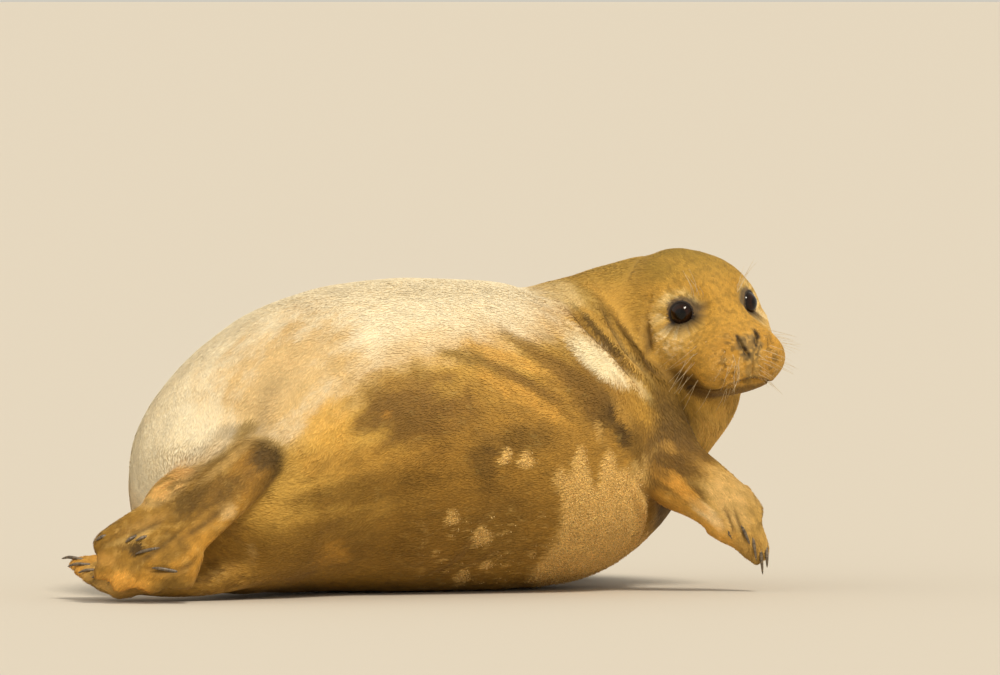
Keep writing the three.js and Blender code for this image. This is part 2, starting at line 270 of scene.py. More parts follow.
# %% Flippers and tail
LIMBS = {
    "fore_flipper_right": dict(
        faces=(0.1, -1, 0.1),
        at=[(250, 40, 270), (306, -36, 218), (350, -74, 172), (401, -76, 138), (444, -66, 102), (462, -60, 84)],
        half=[(76, 46), (68, 40), (54, 28), (44, 19), (40, 13), (33, 10)],
        tips=[(482, -56, 44), (470, -55, 36), (459, -60, 50), (446, -57, 66), (429, -60, 80)],
        claws=[
            ((481, -61, 64), (482, -66, 34)),
            ((472, -64, 66), (476, -62, 24)),
            ((460, -68, 86), (467, -70, 44)),
            ((445, -75, 96), (458, -72, 66)),
            ((421, -80, 96), (434, -74, 72)),
        ],
        digit=12,
        claw=3.8,
    ),
    "fore_flipper_left": dict(
        faces=(0, 0.1, 1),
        at=[(222, 190, 108), (208, 270, 66), (178, 340, 34), (144, 396, 18), (118, 436, 12), (106, 452, 11)],
        half=[(66, 50), (62, 36), (52, 24), (45, 17), (42, 13), (34, 10)],
        tips=[(116, 508, 10), (100, 506, 10), (82, 492, 10), (70, 470, 10), (66, 442, 10)],
        claws=[
            ((121, 496, 17), (110, 528, 8)),
            ((104, 494, 16), (92, 526, 8)),
            ((87, 480, 16.5), (73, 510, 8)),
            ((75, 461, 16.5), (58, 486, 8)),
            ((70, 436, 16.5), (52, 456, 8)),
        ],
        digit=10,
        claw=3.8,
    ),
    "hind_flipper_right": dict(
        faces=(-0.2, -0.9, 0.35),
        at=[
            (-190, -240, 200),
            (-221, -304, 197),
            (-263, -334, 162),
            (-314, -350, 121),
            (-358, -358, 82),
            (-388, -362, 62),
        ],
        half=[(36, 32), (40, 30), (45, 24), (51, 18), (56, 15), (50, 13)],
        tips=[(-448, -356, 73), (-448, -366, 35), (-420, -372, 17), (-374, -374, 14), (-328, -368, 19)],
        claws=[
            ((-431, -360, 93), (-445, -360, 86)),
            ((-390, -364, 92), (-404, -370, 84)),
            ((-372, -364, 93), (-390, -372, 86)),
            ((-362, -374, 76), (-391, -375, 68)),
            ((-340, -383, 46), (-368, -384, 50)),
        ],
        digit=16,
        claw=3.6,
    ),
    "hind_flipper_left": dict(
        faces=(0, -0.4, 0.9),
        at=[(-190, -200, 88), (-236, -242, 60), (-296, -264, 38), (-360, -270, 32), (-420, -270, 37), (-446, -269, 42)],
        half=[(46, 40), (48, 38), (48, 26), (50, 18), (46, 13), (38, 11)],
        tips=[(-488, -254, 48), (-480, -272, 40), (-466, -287, 31), (-448, -300, 23), (-428, -312, 16)],
        claws=[
            ((-472, -256, 56), (-496, -254, 56)),
            ((-462, -273, 49), (-487, -273, 46)),
            ((-447, -286, 41.5), (-472, -288, 38)),
            ((-429, -297, 36), (-453, -301, 32)),
            ((-408, -308, 28), (-431, -312, 25)),
        ],
        digit=14,
        claw=3.6,
    ),
    "tail": dict(
        faces=(-0.2, -0.5, 0.85),
        at=[(-256, -262, 186), (-297, -303, 180), (-341, -328, 161), (-380, -342, 137)],
        half=[(31, 17), (27, 15), (22, 12), (14, 9)],
        tips=[],
        claws=[],
    ),
}


def flat_loft(at, half, faces, tip_end=0.15, rings=40, sides=40):
    shares, turns = np.linspace(0, 1, rings), np.linspace(0, 2 * np.pi, sides, endpoint=False)
    centre, along = curve(at, shares), tangent(at, shares)
    broad = unit(np.cross(along, faces))
    flat = np.cross(broad, along)
    halves = curve([(*h, 0) for h in half], shares) * dome((1 - shares) / tip_end)[:, None]
    points = centre[:, None] + broad[:, None] * (halves[:, :1] * power(np.cos(-turns), SQUARE))[..., None]
    points += flat[:, None] * (halves[:, 1:2] * power(np.sin(-turns), SQUARE))[..., None]
    points[..., 2] = np.maximum(points[..., 2], 0)
    return loft(points)


def digit_lines(limb):
    """Root, knuckle and tip of each digit, fanned out from the end of the palm."""
    start, tips = 0.7, np.array(limb["tips"], float)
    broad = unit(np.cross(tangent(limb["at"], start)[0], limb["faces"]))
    leading = np.sign((tips[0] - tips[-1]) @ broad)
    width = curve([(*h, 0) for h in limb["half"]], start)[0, 0]
    roots = curve(limb["at"], start) + broad * (leading * 0.82 * np.linspace(1, -1, len(tips)) * width)[:, None]
    return [(root, (root + tip) / 2, tip) for root, tip in zip(roots, tips)]


# %% [markdown]
# Separate lofts would leave creases where they meet, and a live body has none. Each loft is therefore turned into a
# signed distance field, a box of numbers that give how far each place is from the surface, negative inside. The
# soft minimum of two fields is a body with a rounded join, and adding a depth to a field sinks its surface. So one
# skin comes out, a coat's depth inside the solids, and it has no seam.

# %% One body from distance fields
VOXEL = 3.4
REACH = 11  # voxels on each side of the surface in which distances are known
BOX_LOW = np.floor((np.array([-496, -389, 0]) - 45) / VOXEL).astype(int)
BOX_HIGH = np.ceil((np.array([509, 528, 472]) + 45) / VOXEL).astype(int)
COAT_DEPTH = {"body": 2.6, "head": 1.2, "limb": 1.3}


def voxels_round(points, margin=0):
    """The first and last voxels of a box round some points, kept inside the whole model's box."""
    start = np.maximum(np.floor((points.min(0) - margin) / VOXEL).astype(int) - REACH, BOX_LOW)
    return start, np.minimum(np.ceil((points.max(0) + margin) / VOXEL).astype(int) + REACH, BOX_HIGH)


def empty(start, stop):
    """A field with nothing in it yet."""
    return start, np.full(stop - start, REACH * VOXEL, np.float32)


def field(points, faces):
    """The distance field of a closed mesh: where its box starts, in voxels, and its numbers."""
    grid = openvdb.FloatGrid.createLevelSetFromPolygons(
        np.ascontiguousarray(points, np.float32),
        triangles=np.ascontiguousarray(faces, np.uint32),
        transform=openvdb.createLinearTransform(VOXEL),
        halfWidth=REACH,
    )
    start, stop = voxels_round(points)
    numbers = np.zeros(stop - start, np.float32)
    grid.copyToArray(numbers, ijk=tuple(int(v) for v in start))
    return start, numbers


def soft_minimum(a, b, rounding):
    h = np.maximum(rounding - np.abs(a - b), 0) / rounding
    return np.minimum(a, b) - h * h * rounding / 4


def unite(base, other, rounding):
    """Joins a smaller field into a bigger one in place, rounded by about that many millimetres."""
    (start, numbers), (other_start, other_numbers) = base, other
    window = tuple(slice(o - s, o - s + n) for o, s, n in zip(other_start, start, other_numbers.shape))
    numbers[window] = soft_minimum(numbers[window], other_numbers, rounding)


PLAIN_JOIN = 0.1  # millimetres of rounding, where two parts already meet smoothly
WEB_JOIN, DIGIT_MARGIN = 10, 75

fields = {"body": empty(BOX_LOW, BOX_HIGH), "head": field(*head_loft())}
unite(fields["body"], field(*loft(trunk)), PLAIN_JOIN)
for name, limb in LIMBS.items():
    palm = field(*flat_loft(limb["at"], limb["half"], limb["faces"], 0.3 if name == "tail" else 0.15))
    if limb["tips"]:
        size = limb["digit"]
        whole = empty(*voxels_round(np.array([*limb["tips"], *limb["at"]]), DIGIT_MARGIN))
        unite(whole, palm, PLAIN_JOIN)
        digits = digit_lines(limb)
        for line in digits:
            half = [(size * 0.9, size * 0.8), (size, size), (size * 0.95, size * 0.8)]
            unite(whole, field(*flat_loft(line, half, limb["faces"], 0.25)), WEB_JOIN)
        for one, two in zip(digits, digits[1:]):  # the web between two digits is thin, and ends a little short
            line = (np.array(one) + np.array(two)) / 2
            line[2] = line[1] + 0.86 * (line[2] - line[1])
            half = [(size, size * 0.6), (size, size * 0.45), (size, size * 0.3)]
            unite(whole, field(*flat_loft(line, half, limb["faces"], 0.25)), WEB_JOIN)
        palm = whole
    fields[name] = palm

skin_field = fields["body"][0], fields["body"][1] + COAT_DEPTH["body"]
nape = flat_loft([(326, 92, 425), (352, 76, 431), (376, 56, 427)], [(40, 40), (46, 43), (40, 38)], (0, 0, 1), 0.5)
unite(skin_field, field(*nape), 20)  # fat that runs from the neck up to the crown
unite(skin_field, (fields["head"][0], fields["head"][1] + COAT_DEPTH["head"]), 40)
ROUNDING = {  # millimetres
    "fore_flipper_right": 14,
    "fore_flipper_left": 30,
    "hind_flipper_right": 5,
    "hind_flipper_left": 7,
    "tail": 8,
}
for name in LIMBS:
    unite(skin_field, (fields[name][0], fields[name][1] + COAT_DEPTH["limb"]), ROUNDING[name])
print("distance fields:", {name: numbers.shape for name, (_, numbers) in fields.items()})

# %% Skin mesh from the field
grid = openvdb.FloatGrid(REACH * VOXEL)
grid.transform = openvdb.createLinearTransform(VOXEL)
grid.copyFromArray(np.clip(skin_field[1], -12, 12), ijk=tuple(int(v) for v in skin_field[0]), tolerance=0)
skin_points, skin_faces = (np.array(v) for v in grid.convertToQuads(0))
del grid
corners = skin_points[skin_faces]
volume = np.einsum("ij,ij->i", corners[:, 0], np.cross(corners[:, 1], corners[:, 2])).sum()
if volume < 0:
    skin_faces = skin_faces[:, ::-1]
print("skin:", len(skin_points), "points", len(skin_faces), "quads")

# %% [markdown]
# A head needs far finer faces than a back. Only the faces near the head are divided, and the eyes, nose and mouth
# once more, so the skin stays light elsewhere. A few rounds of averaging with the neighbours take away the little
# steps that the voxels leave.

# %% Finer faces on the head
CORNERS = [np.array([k & 1, k >> 1 & 1, k >> 2 & 1]) for k in range(8)]  # of a cube


def sample(name, points):
    """A field's distance at any places, between its eight nearest numbers."""
    start, numbers = fields[name]
    x = points / VOXEL - start
    inside = np.all((x >= 0) & (x <= np.array(numbers.shape) - 1.001), axis=1)
    x = np.clip(x, 0, np.array(numbers.shape) - 1.001)
    i = x.astype(int)
    f = x - i
    total = np.zeros(len(points))
    for step in CORNERS:
        weight = np.prod(np.where(step, f, 1 - f), axis=1)
        total += weight * numbers[tuple((i + step).T)]
    return np.where(inside, total, REACH * VOXEL)


def refine(bm, wanted):
    """Divides every face of which all the corners are wanted."""
    faces = [f for f in bm.faces if all(wanted[v.index] for v in f.verts)]
    edges = {e for f in faces for e in f.edges}
    bmesh.ops.subdivide_edges(bm, edges=list(edges), cuts=1, use_grid_fill=True)
    bm.verts.index_update()


def places(bm):
    return np.array([v.co for v in bm.verts])


def relax(points, edges, amount, rounds):
    """Averages each point with its neighbours, by its own share of the amount."""
    count = np.bincount(edges.ravel(), minlength=len(points))[:, None]
    for _ in range(rounds):
        total = np.zeros_like(points)
        for axis in range(3):
            total[:, axis] = np.bincount(edges[:, 0], points[edges[:, 1], axis], len(points))
            total[:, axis] += np.bincount(edges[:, 1], points[edges[:, 0], axis], len(points))
        points = points + amount[:, None] * (total / count - points)
    return points


bm = bmesh.new()
plain = bpy.data.meshes.new("plain")
plain.from_pydata(skin_points.tolist(), [], skin_faces.tolist())
bm.from_mesh(plain)
bpy.data.meshes.remove(plain)
bm.verts.ensure_lookup_table()
bm.verts.index_update()
at = places(bm)
in_head = to_head(at)
refine(bm, (sample("head", at) < 6) & (in_head[:, 1] > -60) & (sample("body", at) > -4))
at = places(bm)
in_head = to_head(at)
near_eye = np.linalg.norm(np.c_[np.abs(in_head[:, 0]), in_head[:, 1:]] - EYE_AT, axis=1)
refine(bm, (near_eye < 36) | ((in_head[:, 1] > 62) & (in_head[:, 2] < 10) & (sample("head", at) < 6)))
bmesh.ops.triangulate(bm, faces=[f for f in bm.faces if len(f.verts) > 4])
skin_mesh = bpy.data.meshes.new("skin")
bm.to_mesh(skin_mesh)
bm.free()


def read(mesh, what, count=3, kind=np.float32):
    group = {"co": mesh.vertices, "vector": mesh.vertex_normals, "vertices": mesh.edges}[what]
    values = np.empty(len(group) * count, kind)
    group.foreach_get(what, values)
    return values.reshape(-1, count)


edges = read(skin_mesh, "vertices", 2, np.int32)
at = read(skin_mesh, "co").astype(float)
at = relax(at, edges, np.full(len(at), 0.5), 4)
print("skin after dividing:", len(at), "points", len(skin_mesh.polygons), "faces")

# %% [markdown]
# Every place on the skin gets numbers to work with: how much it belongs to each part, how far along and around
# that part it is, and which way the hair lies there. Hair lies away from the nose: back over the head, along the
# trunk to the tail, and out along the flippers. Blending the parts' directions by how near each part is keeps the
# lie smooth over every join.

# %% Where each place is, and how the hair lies there
PARTS = ["body", "head", *LIMBS]
NOSE = np.array([0, 103, -35.0])
PART_BLEND = 9  # millimetres over which one part's numbers give way to the next part's
SPINE_STEPS = 260
spine_at = curve(BODY_AT, np.linspace(0, 1, SPINE_STEPS))
limb_shares = np.linspace(0, 1, 60)
TRUNK_BACK = -unit(np.gradient(trunk, axis=0)).reshape(-1, 3)  # towards the tail, along the surface
trunk_tree = KDTree(trunk.shape[0] * trunk.shape[1])
for number, spot_at in enumerate(trunk.reshape(-1, 3).tolist()):
    trunk_tree.insert(spot_at, number)
trunk_tree.balance()


def nearest(points, line):
    best = np.empty(len(points), int)
    for i in range(0, len(points), 20000):
        chunk = points[i : i + 20000]
        far = (chunk**2).sum(1)[:, None] - 2 * chunk @ line.T + (line**2).sum(1)
        best[i : i + 20000] = far.argmin(1)
    return best


def lie_and_place(points, normals):
    """For each point: its parts' weights, the lie of its hair, and for each part its share along it and its turn
    around it, as a cosine and a sine, which can be averaged where an angle can't."""
    points = np.asarray(points, float)
    distances = np.stack([sample(name, points) for name in PARTS], 1)
    weights = np.exp(-(distances - distances.min(1, keepdims=True)) / PART_BLEND)
    weights /= weights.sum(1, keepdims=True)
    lie = np.zeros_like(points)
    places = np.zeros((len(points), len(PARTS), 3))
    k = np.array([trunk_tree.find(p)[1] for p in points.tolist()])
    places[:, 0] = np.stack([trunk_share.ravel()[k], np.cos(trunk_turn.ravel()[k]), np.sin(trunk_turn.ravel()[k])], 1)
    lie += weights[:, :1] * TRUNK_BACK[k]
    head_points = to_head(points)
    away = unit(head_points - NOSE) @ HEAD_TURNED.T
    places[:, 1, 0] = np.clip((head_points[:, 1] + 100) / 215, 0, 1)
    places[:, 1, 1:] = unit(np.c_[head_points[:, 0], head_points[:, 2] + 40])
    lie += weights[:, 1:2] * away
    for i, name in enumerate(LIMBS, 2):
        limb = LIMBS[name]
        line = curve(limb["at"], limb_shares)
        if limb["tips"]:
            line = np.vstack([line[:-6], (line[-6] + np.mean(limb["tips"], 0)) / 2, np.mean(limb["tips"], 0)])
        along = unit(np.gradient(line, axis=0))
        k = nearest(points, line)
        out = points - line[k]
        broad = unit(np.cross(along[k], limb["faces"]))
        places[:, i, 0] = k / (len(line) - 1)
        places[:, i, 1:] = unit(np.c_[(out * broad).sum(1), (out * np.cross(broad, along[k])).sum(1)])
        lie += weights[:, i : i + 1] * along[k]
    lie -= normals * (lie * normals).sum(1, keepdims=True)
    return weights, unit(lie), places


def normals_of(points, faces_mesh):
    faces_mesh.vertices.foreach_set("co", points.astype(np.float32).ravel())
    faces_mesh.update()
    return read(faces_mesh, "vector").astype(float)


normals = normals_of(at, skin_mesh)
weights, lie, place = lie_and_place(at, normals)
half = np.full(len(at), 0.6)
lie = unit(relax(lie, edges, half, 30))  # the nearest ring of the trunk changes in steps, so both are averaged
place[:, 0] = relax(place[:, 0], edges, half, 20)
lie = unit(lie - normals * (lie * normals).sum(1, keepdims=True))
on_head = weights[:, 1]


def noise(points, size, seed=0):
    """Soft random bumps about that many millimetres across, between -1 and 1."""
    x = np.asarray(points, float) / size + seed * 17.31
    i = np.floor(x).astype(np.int64)
    f = smooth(x - i)
    total = np.zeros(len(x))
    for step in CORNERS:
        key = (i + step) @ np.array([73856093, 19349663, 83492791]) + seed * 1013
        key = (key ^ (key >> 13)) * 1274126177
        value = ((key ^ (key >> 16)) & 0xFFFF) / 32767.5 - 1
        total += value * np.prod(np.where(step, f, 1 - f), axis=1)
    return total


# %% [markdown]
# The face is carved by moving points along their normals. Each feature is a short line or a spot with a width and a
# depth: the slits of the nostrils, the line of the mouth, the groove under the nose, the ear holes, the wrinkles.
# The lids are made from the eyeball itself: inside the opening the skin drops under the ball, at its edge it stands
# just proud of the ball, and further out it runs back into the face.

# %% Face
def near_line(points, line):
    """How far each point is from a curve through the stations, and at which share of it."""
    shares = np.linspace(0, 1, 40)
    path = curve(line, shares)
    far = np.sqrt(((points[:, None] - path[None]) ** 2).sum(-1))
    k = far.argmin(1)
    return far[np.arange(len(points)), k], shares[k]


def closest(spot_at):
    """Which point of the skin is nearest to a place given in the head's own frame."""
    return ((head_at - spot_at) ** 2).sum(1).argmin()


def on_skin(line, count=9):
    """A head line drawn through the nearest places of the skin, so that a groove along it keeps its depth."""
    return [tuple(head_at[closest(p)]) for p in curve(line, np.linspace(0, 1, count))]


def groove(points, line, width, depth, taper=0.25):
    """How far a groove along a line moves each point. A depth below zero makes a ridge."""
    move = np.zeros(len(points))
    line = np.array(line, float)
    close = np.all((points > line.min(0) - 4 * width) & (points < line.max(0) + 4 * width), axis=1)
    if close.any():
        far, share = near_line(points[close], line)
        ends = smooth(share / taper) * smooth((1 - share) / taper)
        move[close] = -depth * np.exp(-((far / width) ** 2)) * (0.15 + 0.85 * ends)
    return move


head_at = to_head(at)
face = on_head > 0.3
NOSTRIL = {
    1: [(13, 94, -15), (10.5, 99, -23), (6, 104, -34), (0, 106, -44)],
    -1: [(-17, 92, -12), (-16, 98, -21), (-13, 103, -29)],
}
MOUTH = [(0, 104, -80), (14, 104, -83), (30, 98, -86), (44, 78, -92), (54, 52, -97), (58, 32, -98)]
BROW_FOLD = [(24, 44, 26), (44, 38, 22), (60, 20, 18)]


def mirrored(line, side):
    return [(side * x, y, z) for x, y, z in line]


def carve(points):
    """How far the face's features move each place, in millimetres along the normal."""
    move = np.zeros(len(points))
    move += groove(points, on_skin([(-4, 106, -46), (-5, 106, -60), (-6, 104, -79)]), 1.7, 2.2)  # groove to the lip
    for side in (1, -1):
        nostril = on_skin(NOSTRIL[side])
        move += groove(points, nostril, 2.2, 6.0, 0.3)
        move += groove(points, nostril, 5.5, -1.8, 0.3)  # raised rim
        mouth = on_skin(mirrored(MOUTH, side), 14)
        move += groove(points, mouth, 2.4, 4.6, 0.12)
        move += groove(points, [(x, y, z + 6) for x, y, z in mouth], 5.5, -2.0, 0.2)  # lip that hangs over it
        move += groove(points, on_skin(mirrored(BROW_FOLD, side)), 4, 1.2)
        ear = on_skin([(side * 81, -36, 20), (side * 82, -38, 12), (side * 83, -37, 4)], 4)
        move += groove(points, ear, 1.9, 5.0, 0.1)
        move += spot(points, (side * 38, 94, -62), 22, 3.2)  # the pad is plump
        for row in range(5):  # the whisker pad rises a little round every root
            for column in range(6):
                root = whisker_root(side, row, column)
                move += spot(points, root, 2.3, 0.9)
    for step in range(3):  # wrinkles across the bridge of the nose
        forward = 52 + 9 * step
        line = [(x, forward - 3 * (x != 0), (18 if x == 0 else 16) - 6 * step) for x in (-16, 0, 16)]
        move += groove(points, on_skin(line), 2.2, 0.7)
    return move


def spot(points, at_place, width, height):
    far = ((points - np.array(at_place)) ** 2).sum(1)
    return np.where(far < (3 * width) ** 2, height * np.exp(-far / width**2), 0)


def whisker_root(side, row, column):
    """The root of a whisker: rows run back along the pad, one below the other."""
    forward = 101 - 8.5 * column - 0.6 * column * column
    across = 17 + 6.8 * column + 1.5 * (row % 2)
    return head_at[closest([side * across, forward, -44 - 7.2 * row + 0.5 * column])]


near_face = face & (head_at[:, 1] > -60)
move = np.zeros(len(at))
move[near_face] = carve(head_at[near_face])
move += on_head * 0.5 * noise(at, 14, 3)
at = at + normals * move[:, None]

# %% Eyelids
EYE_LOOKS = unit(np.array([0.6, 0.77, 0.2]))
LID_OPEN = math.radians(54.5)  # from the way the eye looks to the edge of the lids
LID_REACH = math.radians(112)  # and to where the lids have run out into the face


def eye_turns(points, side):
    """Distance from an eyeball's centre, and the angle from the way it looks, a little less to the sides."""
    out = points - EYE_AT * [side, 1, 1]
    far = np.linalg.norm(out, axis=1)
    looks = EYE_LOOKS * [side, 1, 1]
    angle = np.arccos(np.clip((out @ looks) / np.maximum(far, 1e-6), -1, 1))
    across = unit(np.cross(looks, [0, 0, 1]))
    sideways = np.abs(out @ across) / np.maximum(far * np.sin(angle), 1e-6)
    return far, angle * (1 + 0.05 * (sideways**2 - 0.5)), out


head_at = to_head(at)
eye_angle, rim_wide = np.full(len(at), 9.0), np.full(len(at), 12.0)
for side in (1, -1):
    far, angle, out = eye_turns(head_at, side)
    close = face & (far < 46) & (angle < LID_REACH)
    eye_angle[close] = np.minimum(eye_angle[close], angle[close])
    rim_wide[close] = 11 + 12 * np.clip((out[close, 2] - 0.5 * side * out[close, 0] + 18) / 24, 0, 1)
    past = (angle[close] - LID_OPEN) / math.radians(1)
    lid = EYE_RADIUS + 1.5 - 0.5 * np.exp(-((past / 3) ** 2)) + 0.5 * np.exp(-(((past - 8) / 4) ** 2))
    lid -= 0.7 * np.exp(-(((past - 15) / 3) ** 2))
    outside = lid + (far[close] - lid) * smooth(past / 34) ** 1.4
    inside = np.full(len(past), EYE_RADIUS - 3.0)
    radius = inside + (outside - inside) * smooth((past + 4) / 4)
    moved = EYE_AT * [side, 1, 1] + unit(out[close]) * radius[:, None]
    fade = smooth((LID_REACH - angle[close]) / 0.35)[:, None]
    head_at[close] += (moved - head_at[close]) * fade
at = from_head(head_at)
print("face carved, deepest", round(float(-move.min()), 1), "mm")

# %% [markdown]
# The skin of the neck bunches into folds on the side that the head turns to, and the flippers press creases into the
# trunk. A place on the near side is named by how far along the floor it is and how high, and the code finds the
# skin there.

# %% Folds of the neck and trunk
def near_side(spots):
    """The places on the skin that face -Y, at the given x and height."""
    found = []
    for x, z in spots:
        close = np.flatnonzero((np.abs(at[:, 0] - x) < 6) & (np.abs(at[:, 2] - z) < 6))
        found.append(at[close[at[close, 1].argmin()]])
    return np.array(found)


FOLDS = [  # line along the crease, width, depth, and how much the skin behind it swells
    ([(193, 421), (220, 393), (245, 367), (273, 339), (298, 311), (319, 283)], 8, 10.0, 0.5),
    ([(252, 423), (262, 399), (276, 371), (294, 340), (315, 318), (330, 296)], 7, 7.5, 0.5),
    ([(311, 398), (309, 372), (312, 350), (320, 330), (335, 312), (360, 294)], 7, 8.5, 0.3),  # behind the cheek
    ([(150, 385), (205, 345), (262, 290), (280, 255)], 16, 2.6, 0.3),
    ([(234, 20), (300, 58), (319, 89), (323, 117), (316, 138), (302, 160)], 8, 11.0, 0.5),
    ([(98, 103), (54, 41), (0, 14)], 8, 3.2, 0.5),
    ([(126, 62), (54, 25)], 7, 2.6, 0.5),
    ([(-290, 74), (-320, 56), (-350, 50), (-398, 56)], 5, 9.0, 0.5),  # between the toes of the near foot
    ([(-318, 116), (-350, 92), (-377, 71), (-398, 60)], 4.5, 7.0, 0.4),
    ([(-256, 141), (-300, 116), (-335, 92)], 5, 6.0, 0.4),
    ([(-350, 122), (-385, 104), (-415, 88)], 4, 6.0, 0.4),
    ([(424, 120), (434, 96), (442, 74)], 3.5, 6.0, 0.3),  # between the digits of the near hand
    ([(438, 118), (448, 90), (457, 62)], 3.5, 6.0, 0.3),
    ([(-190, 330), (-215, 280), (-222, 235)], 16, 2.0, 0.3),
]
normals = normals_of(at, skin_mesh)
move = np.zeros(len(at))
# crease is the middle of each fold; further on the coat is darkened there as painted shade, and the locks there grow
# shorter
crease = np.zeros(len(at))
for line, width, depth, swelling in FOLDS:
    path = near_side(line)
    crease = np.maximum(crease, -groove(at, path, width * 0.9, min(1, depth / 6), 0.3))
    move += groove(at, path, width, depth, 0.3)
    move += groove(at, path + [-width * 1.2, 0, -width * 0.9], width * 1.3, -swelling * depth, 0.3)
move += (1 - on_head) * (1.6 * noise(at, 70, 5) + 0.5 * noise(at, 26, 6))
limb_share = weights[:, 2:].sum(1)
toes = place[:, 2:, 0][np.arange(len(at)), weights[:, 2:].argmax(1)]
move *= 1 - 0.6 * limb_share
at = at + normals * move[:, None]
at[:, 2] = np.maximum(at[:, 2], 1.2)
normals = normals_of(at, skin_mesh)

# %% [markdown]
# The coat's colours are mostly markings that a seal of this age has: a pale cream back, a golden flank that darkens
# to olive below, dark blotches on the near side, a golden brown head with pale rings round the eyes, and brown
# flippers with paler ends. Some dark colour is painted shade instead: along the creases of the folds, under the jaw
# and chin and on the neck just below it, in the recess between the near fore flipper and the chest, and in the
# nostril slits, the mouth line and the ear holes. Each marking is a soft spot with a centre, a reach and a strength,
# broken up by noise drawn out along the hair. Skin and coat read the same numbers, so no bare skin shows as another
# colour.

# %% Markings
CREAM, GOLD, BROWN, OLIVE = "#f3e0c2", "#d3a455", "#aa7c39", "#a07430"
UMBER, DARK, ORANGE, SAND = "#865f2c", "#503816", "#d69a44", "#fdcf78"
RIM, NOSE_GREY = "#2b2320", "#8a7050"
CREAM_ENDS = (  # how low the cream reaches at each place along the floor
    (-377, -308, -238, -169, -99, -30, 40, 137, 192, 230, 300),
    (120, 190, 235, 262, 305, 345, 362, 372, 400, 425, 470),
)
BACK_BANDS = (1.2, 0.1), (1.6, 0.08), (1.95, 0.1)  # turn round the trunk and width of each faint band, in radians
PATCHES = [  # x, height, reach along, reach up, lean in degrees, colour, strength
    (-195, 300, 120, 74, 30, "#d3ab6c", 0.8),
    (-118, 245, 38, 36, 10, "#e0aa55", 0.6),
    (-56, 190, 110, 30, 2, "#c08c42", 0.6),
    (-56, 155, 120, 22, 9, "#79561f", 0.75),
    (-20, 80, 190, 50, 0, "#8a6329", 0.5),
    (40, 120, 150, 90, 0, "#94692a", 0.55),
    (-4, 262, 84, 54, -6, UMBER, 0.9),
    (-30, 252, 56, 34, 0, "#7a5726", 0.5),
    (-43, 257, 7, 6, 0, "#b9823a", 0.6),
    (-118, 62, 26, 20, 0, ORANGE, 0.6),
    (90, 186, 20, 40, 8, DARK, 0.55),
    (140, 218, 44, 22, 0, DARK, 0.5),
    (100, 316, 80, 9, -20, "#8d6a35", 0.6),
    (128, 328, 60, 10, -20, "#e3ab58", 0.7),
    (60, 336, 40, 7, -18, "#8d6a35", 0.5),
    (150, 276, 70, 14, -28, "#dda350", 0.65),
    (150, 297, 90, 8, -30, UMBER, 0.7),
    (190, 318, 90, 12, -36, UMBER, 0.75),
    (236, 286, 60, 14, -40, "#7d5a28", 0.75),
    (244, 258, 34, 24, -50, DARK, 0.8),
    (232, 256, 9, 14, 10, "#4a3213", 0.7),
    (266, 254, 8, 18, 14, "#40290c", 0.8),
    (282, 226, 7, 22, 10, "#40290c", 0.7),
    (250, 226, 6, 18, 14, "#d1a364", 0.6),
    (216, 262, 30, 14, -50, "#b5863f", 0.6),
    (112, 120, 36, 50, 0, "#6a4a1c", 0.3),
    (-228, 60, 6, 18, 4, "#e3bd8c", 0.85),
    (-240, 58, 5, 40, 14, "#5a4018", 0.7),
    (-288, 40, 8, 32, -12, "#dcb67c", 0.85),
    (-272, 40, 6, 36, -10, "#4e3818", 0.8),
    (272, 236, 46, 12, -55, DARK, 0.7),
    (282, 252, 40, 8, -55, "#c0904a", 0.6),
    (305, 205, 16, 44, 12, DARK, 0.6),
    (300, 172, 8, 20, 14, "#e9bd7c", 0.6),
    (326, 205, 14, 30, 25, "#6a4a20", 0.6),
    (345, 180, 30, 9, -40, "#c8934a", 0.5),
    (425, 232, 46, 34, 0, "#e3b060", 0.75),
    # painted shade on the neck just beneath the chin
    (384, 290, 40, 16, -30, "#5d431f", 0.75),
    (335, 300, 16, 40, 30, "#7b5a26", 0.6),
    (243, 331, 60, 17, -42, "#f8e4be", 0.95),
    (303, 290, 32, 8, -50, "#ecca90", 0.85),
    (-44, 306, 34, 16, -20, "#b98c4a", 0.5),
    (109, 338, 40, 12, -30, "#c89650", 0.5),
    (109, 75, 44, 40, 0, "#9a7234", 0.5),
    (234, 270, 30, 24, -40, "#94692f", 0.45),
    # painted shade along a fold of the neck
    (326, 284, 34, 6, -52, "#7d5c28", 0.8),
    (196, 417, 46, 20, -25, "#e2c48c", 0.75),
    # painted shade along a fold of the neck
    (262, 348, 78, 6, -48, "#553c16", 0.9),
    (292, 328, 54, 6, -51, "#d8b06c", 0.75),
    # painted shade along a fold of the neck
    (290, 354, 56, 6, -57, "#6b4c1c", 0.85),
    (240, 405, 40, 12, -50, "#a58243", 0.6),
    (348, 256, 44, 24, -50, "#6c4e20", 0.85),
    # painted shade in the recess between the near fore flipper and the chest
    (346, 108, 24, 56, 6, "#4b3418", 0.9),
    (-322, 196, 44, 13, 38, DARK, 0.9),
    (-360, 160, 22, 14, 45, DARK, 0.6),
    (-256, 236, 48, 12, 8, DARK, 0.6),
    (-204, 196, 11, 34, 12, DARK, 0.6),
]


def blend_to(colour, other, amount):
    return colour + (linear(other)[:3] - colour) * np.clip(amount, 0, 1)[:, None]


def ragged(points, lie, size, seed, stretch=3.0):
    """Noise drawn out along the lie of the hair."""
    shift = lie * size * 0.8
    steps = np.linspace(-stretch / 2, stretch / 2, 5)
    return sum(noise(points + shift * s, size, seed) for s in steps) / 2.6


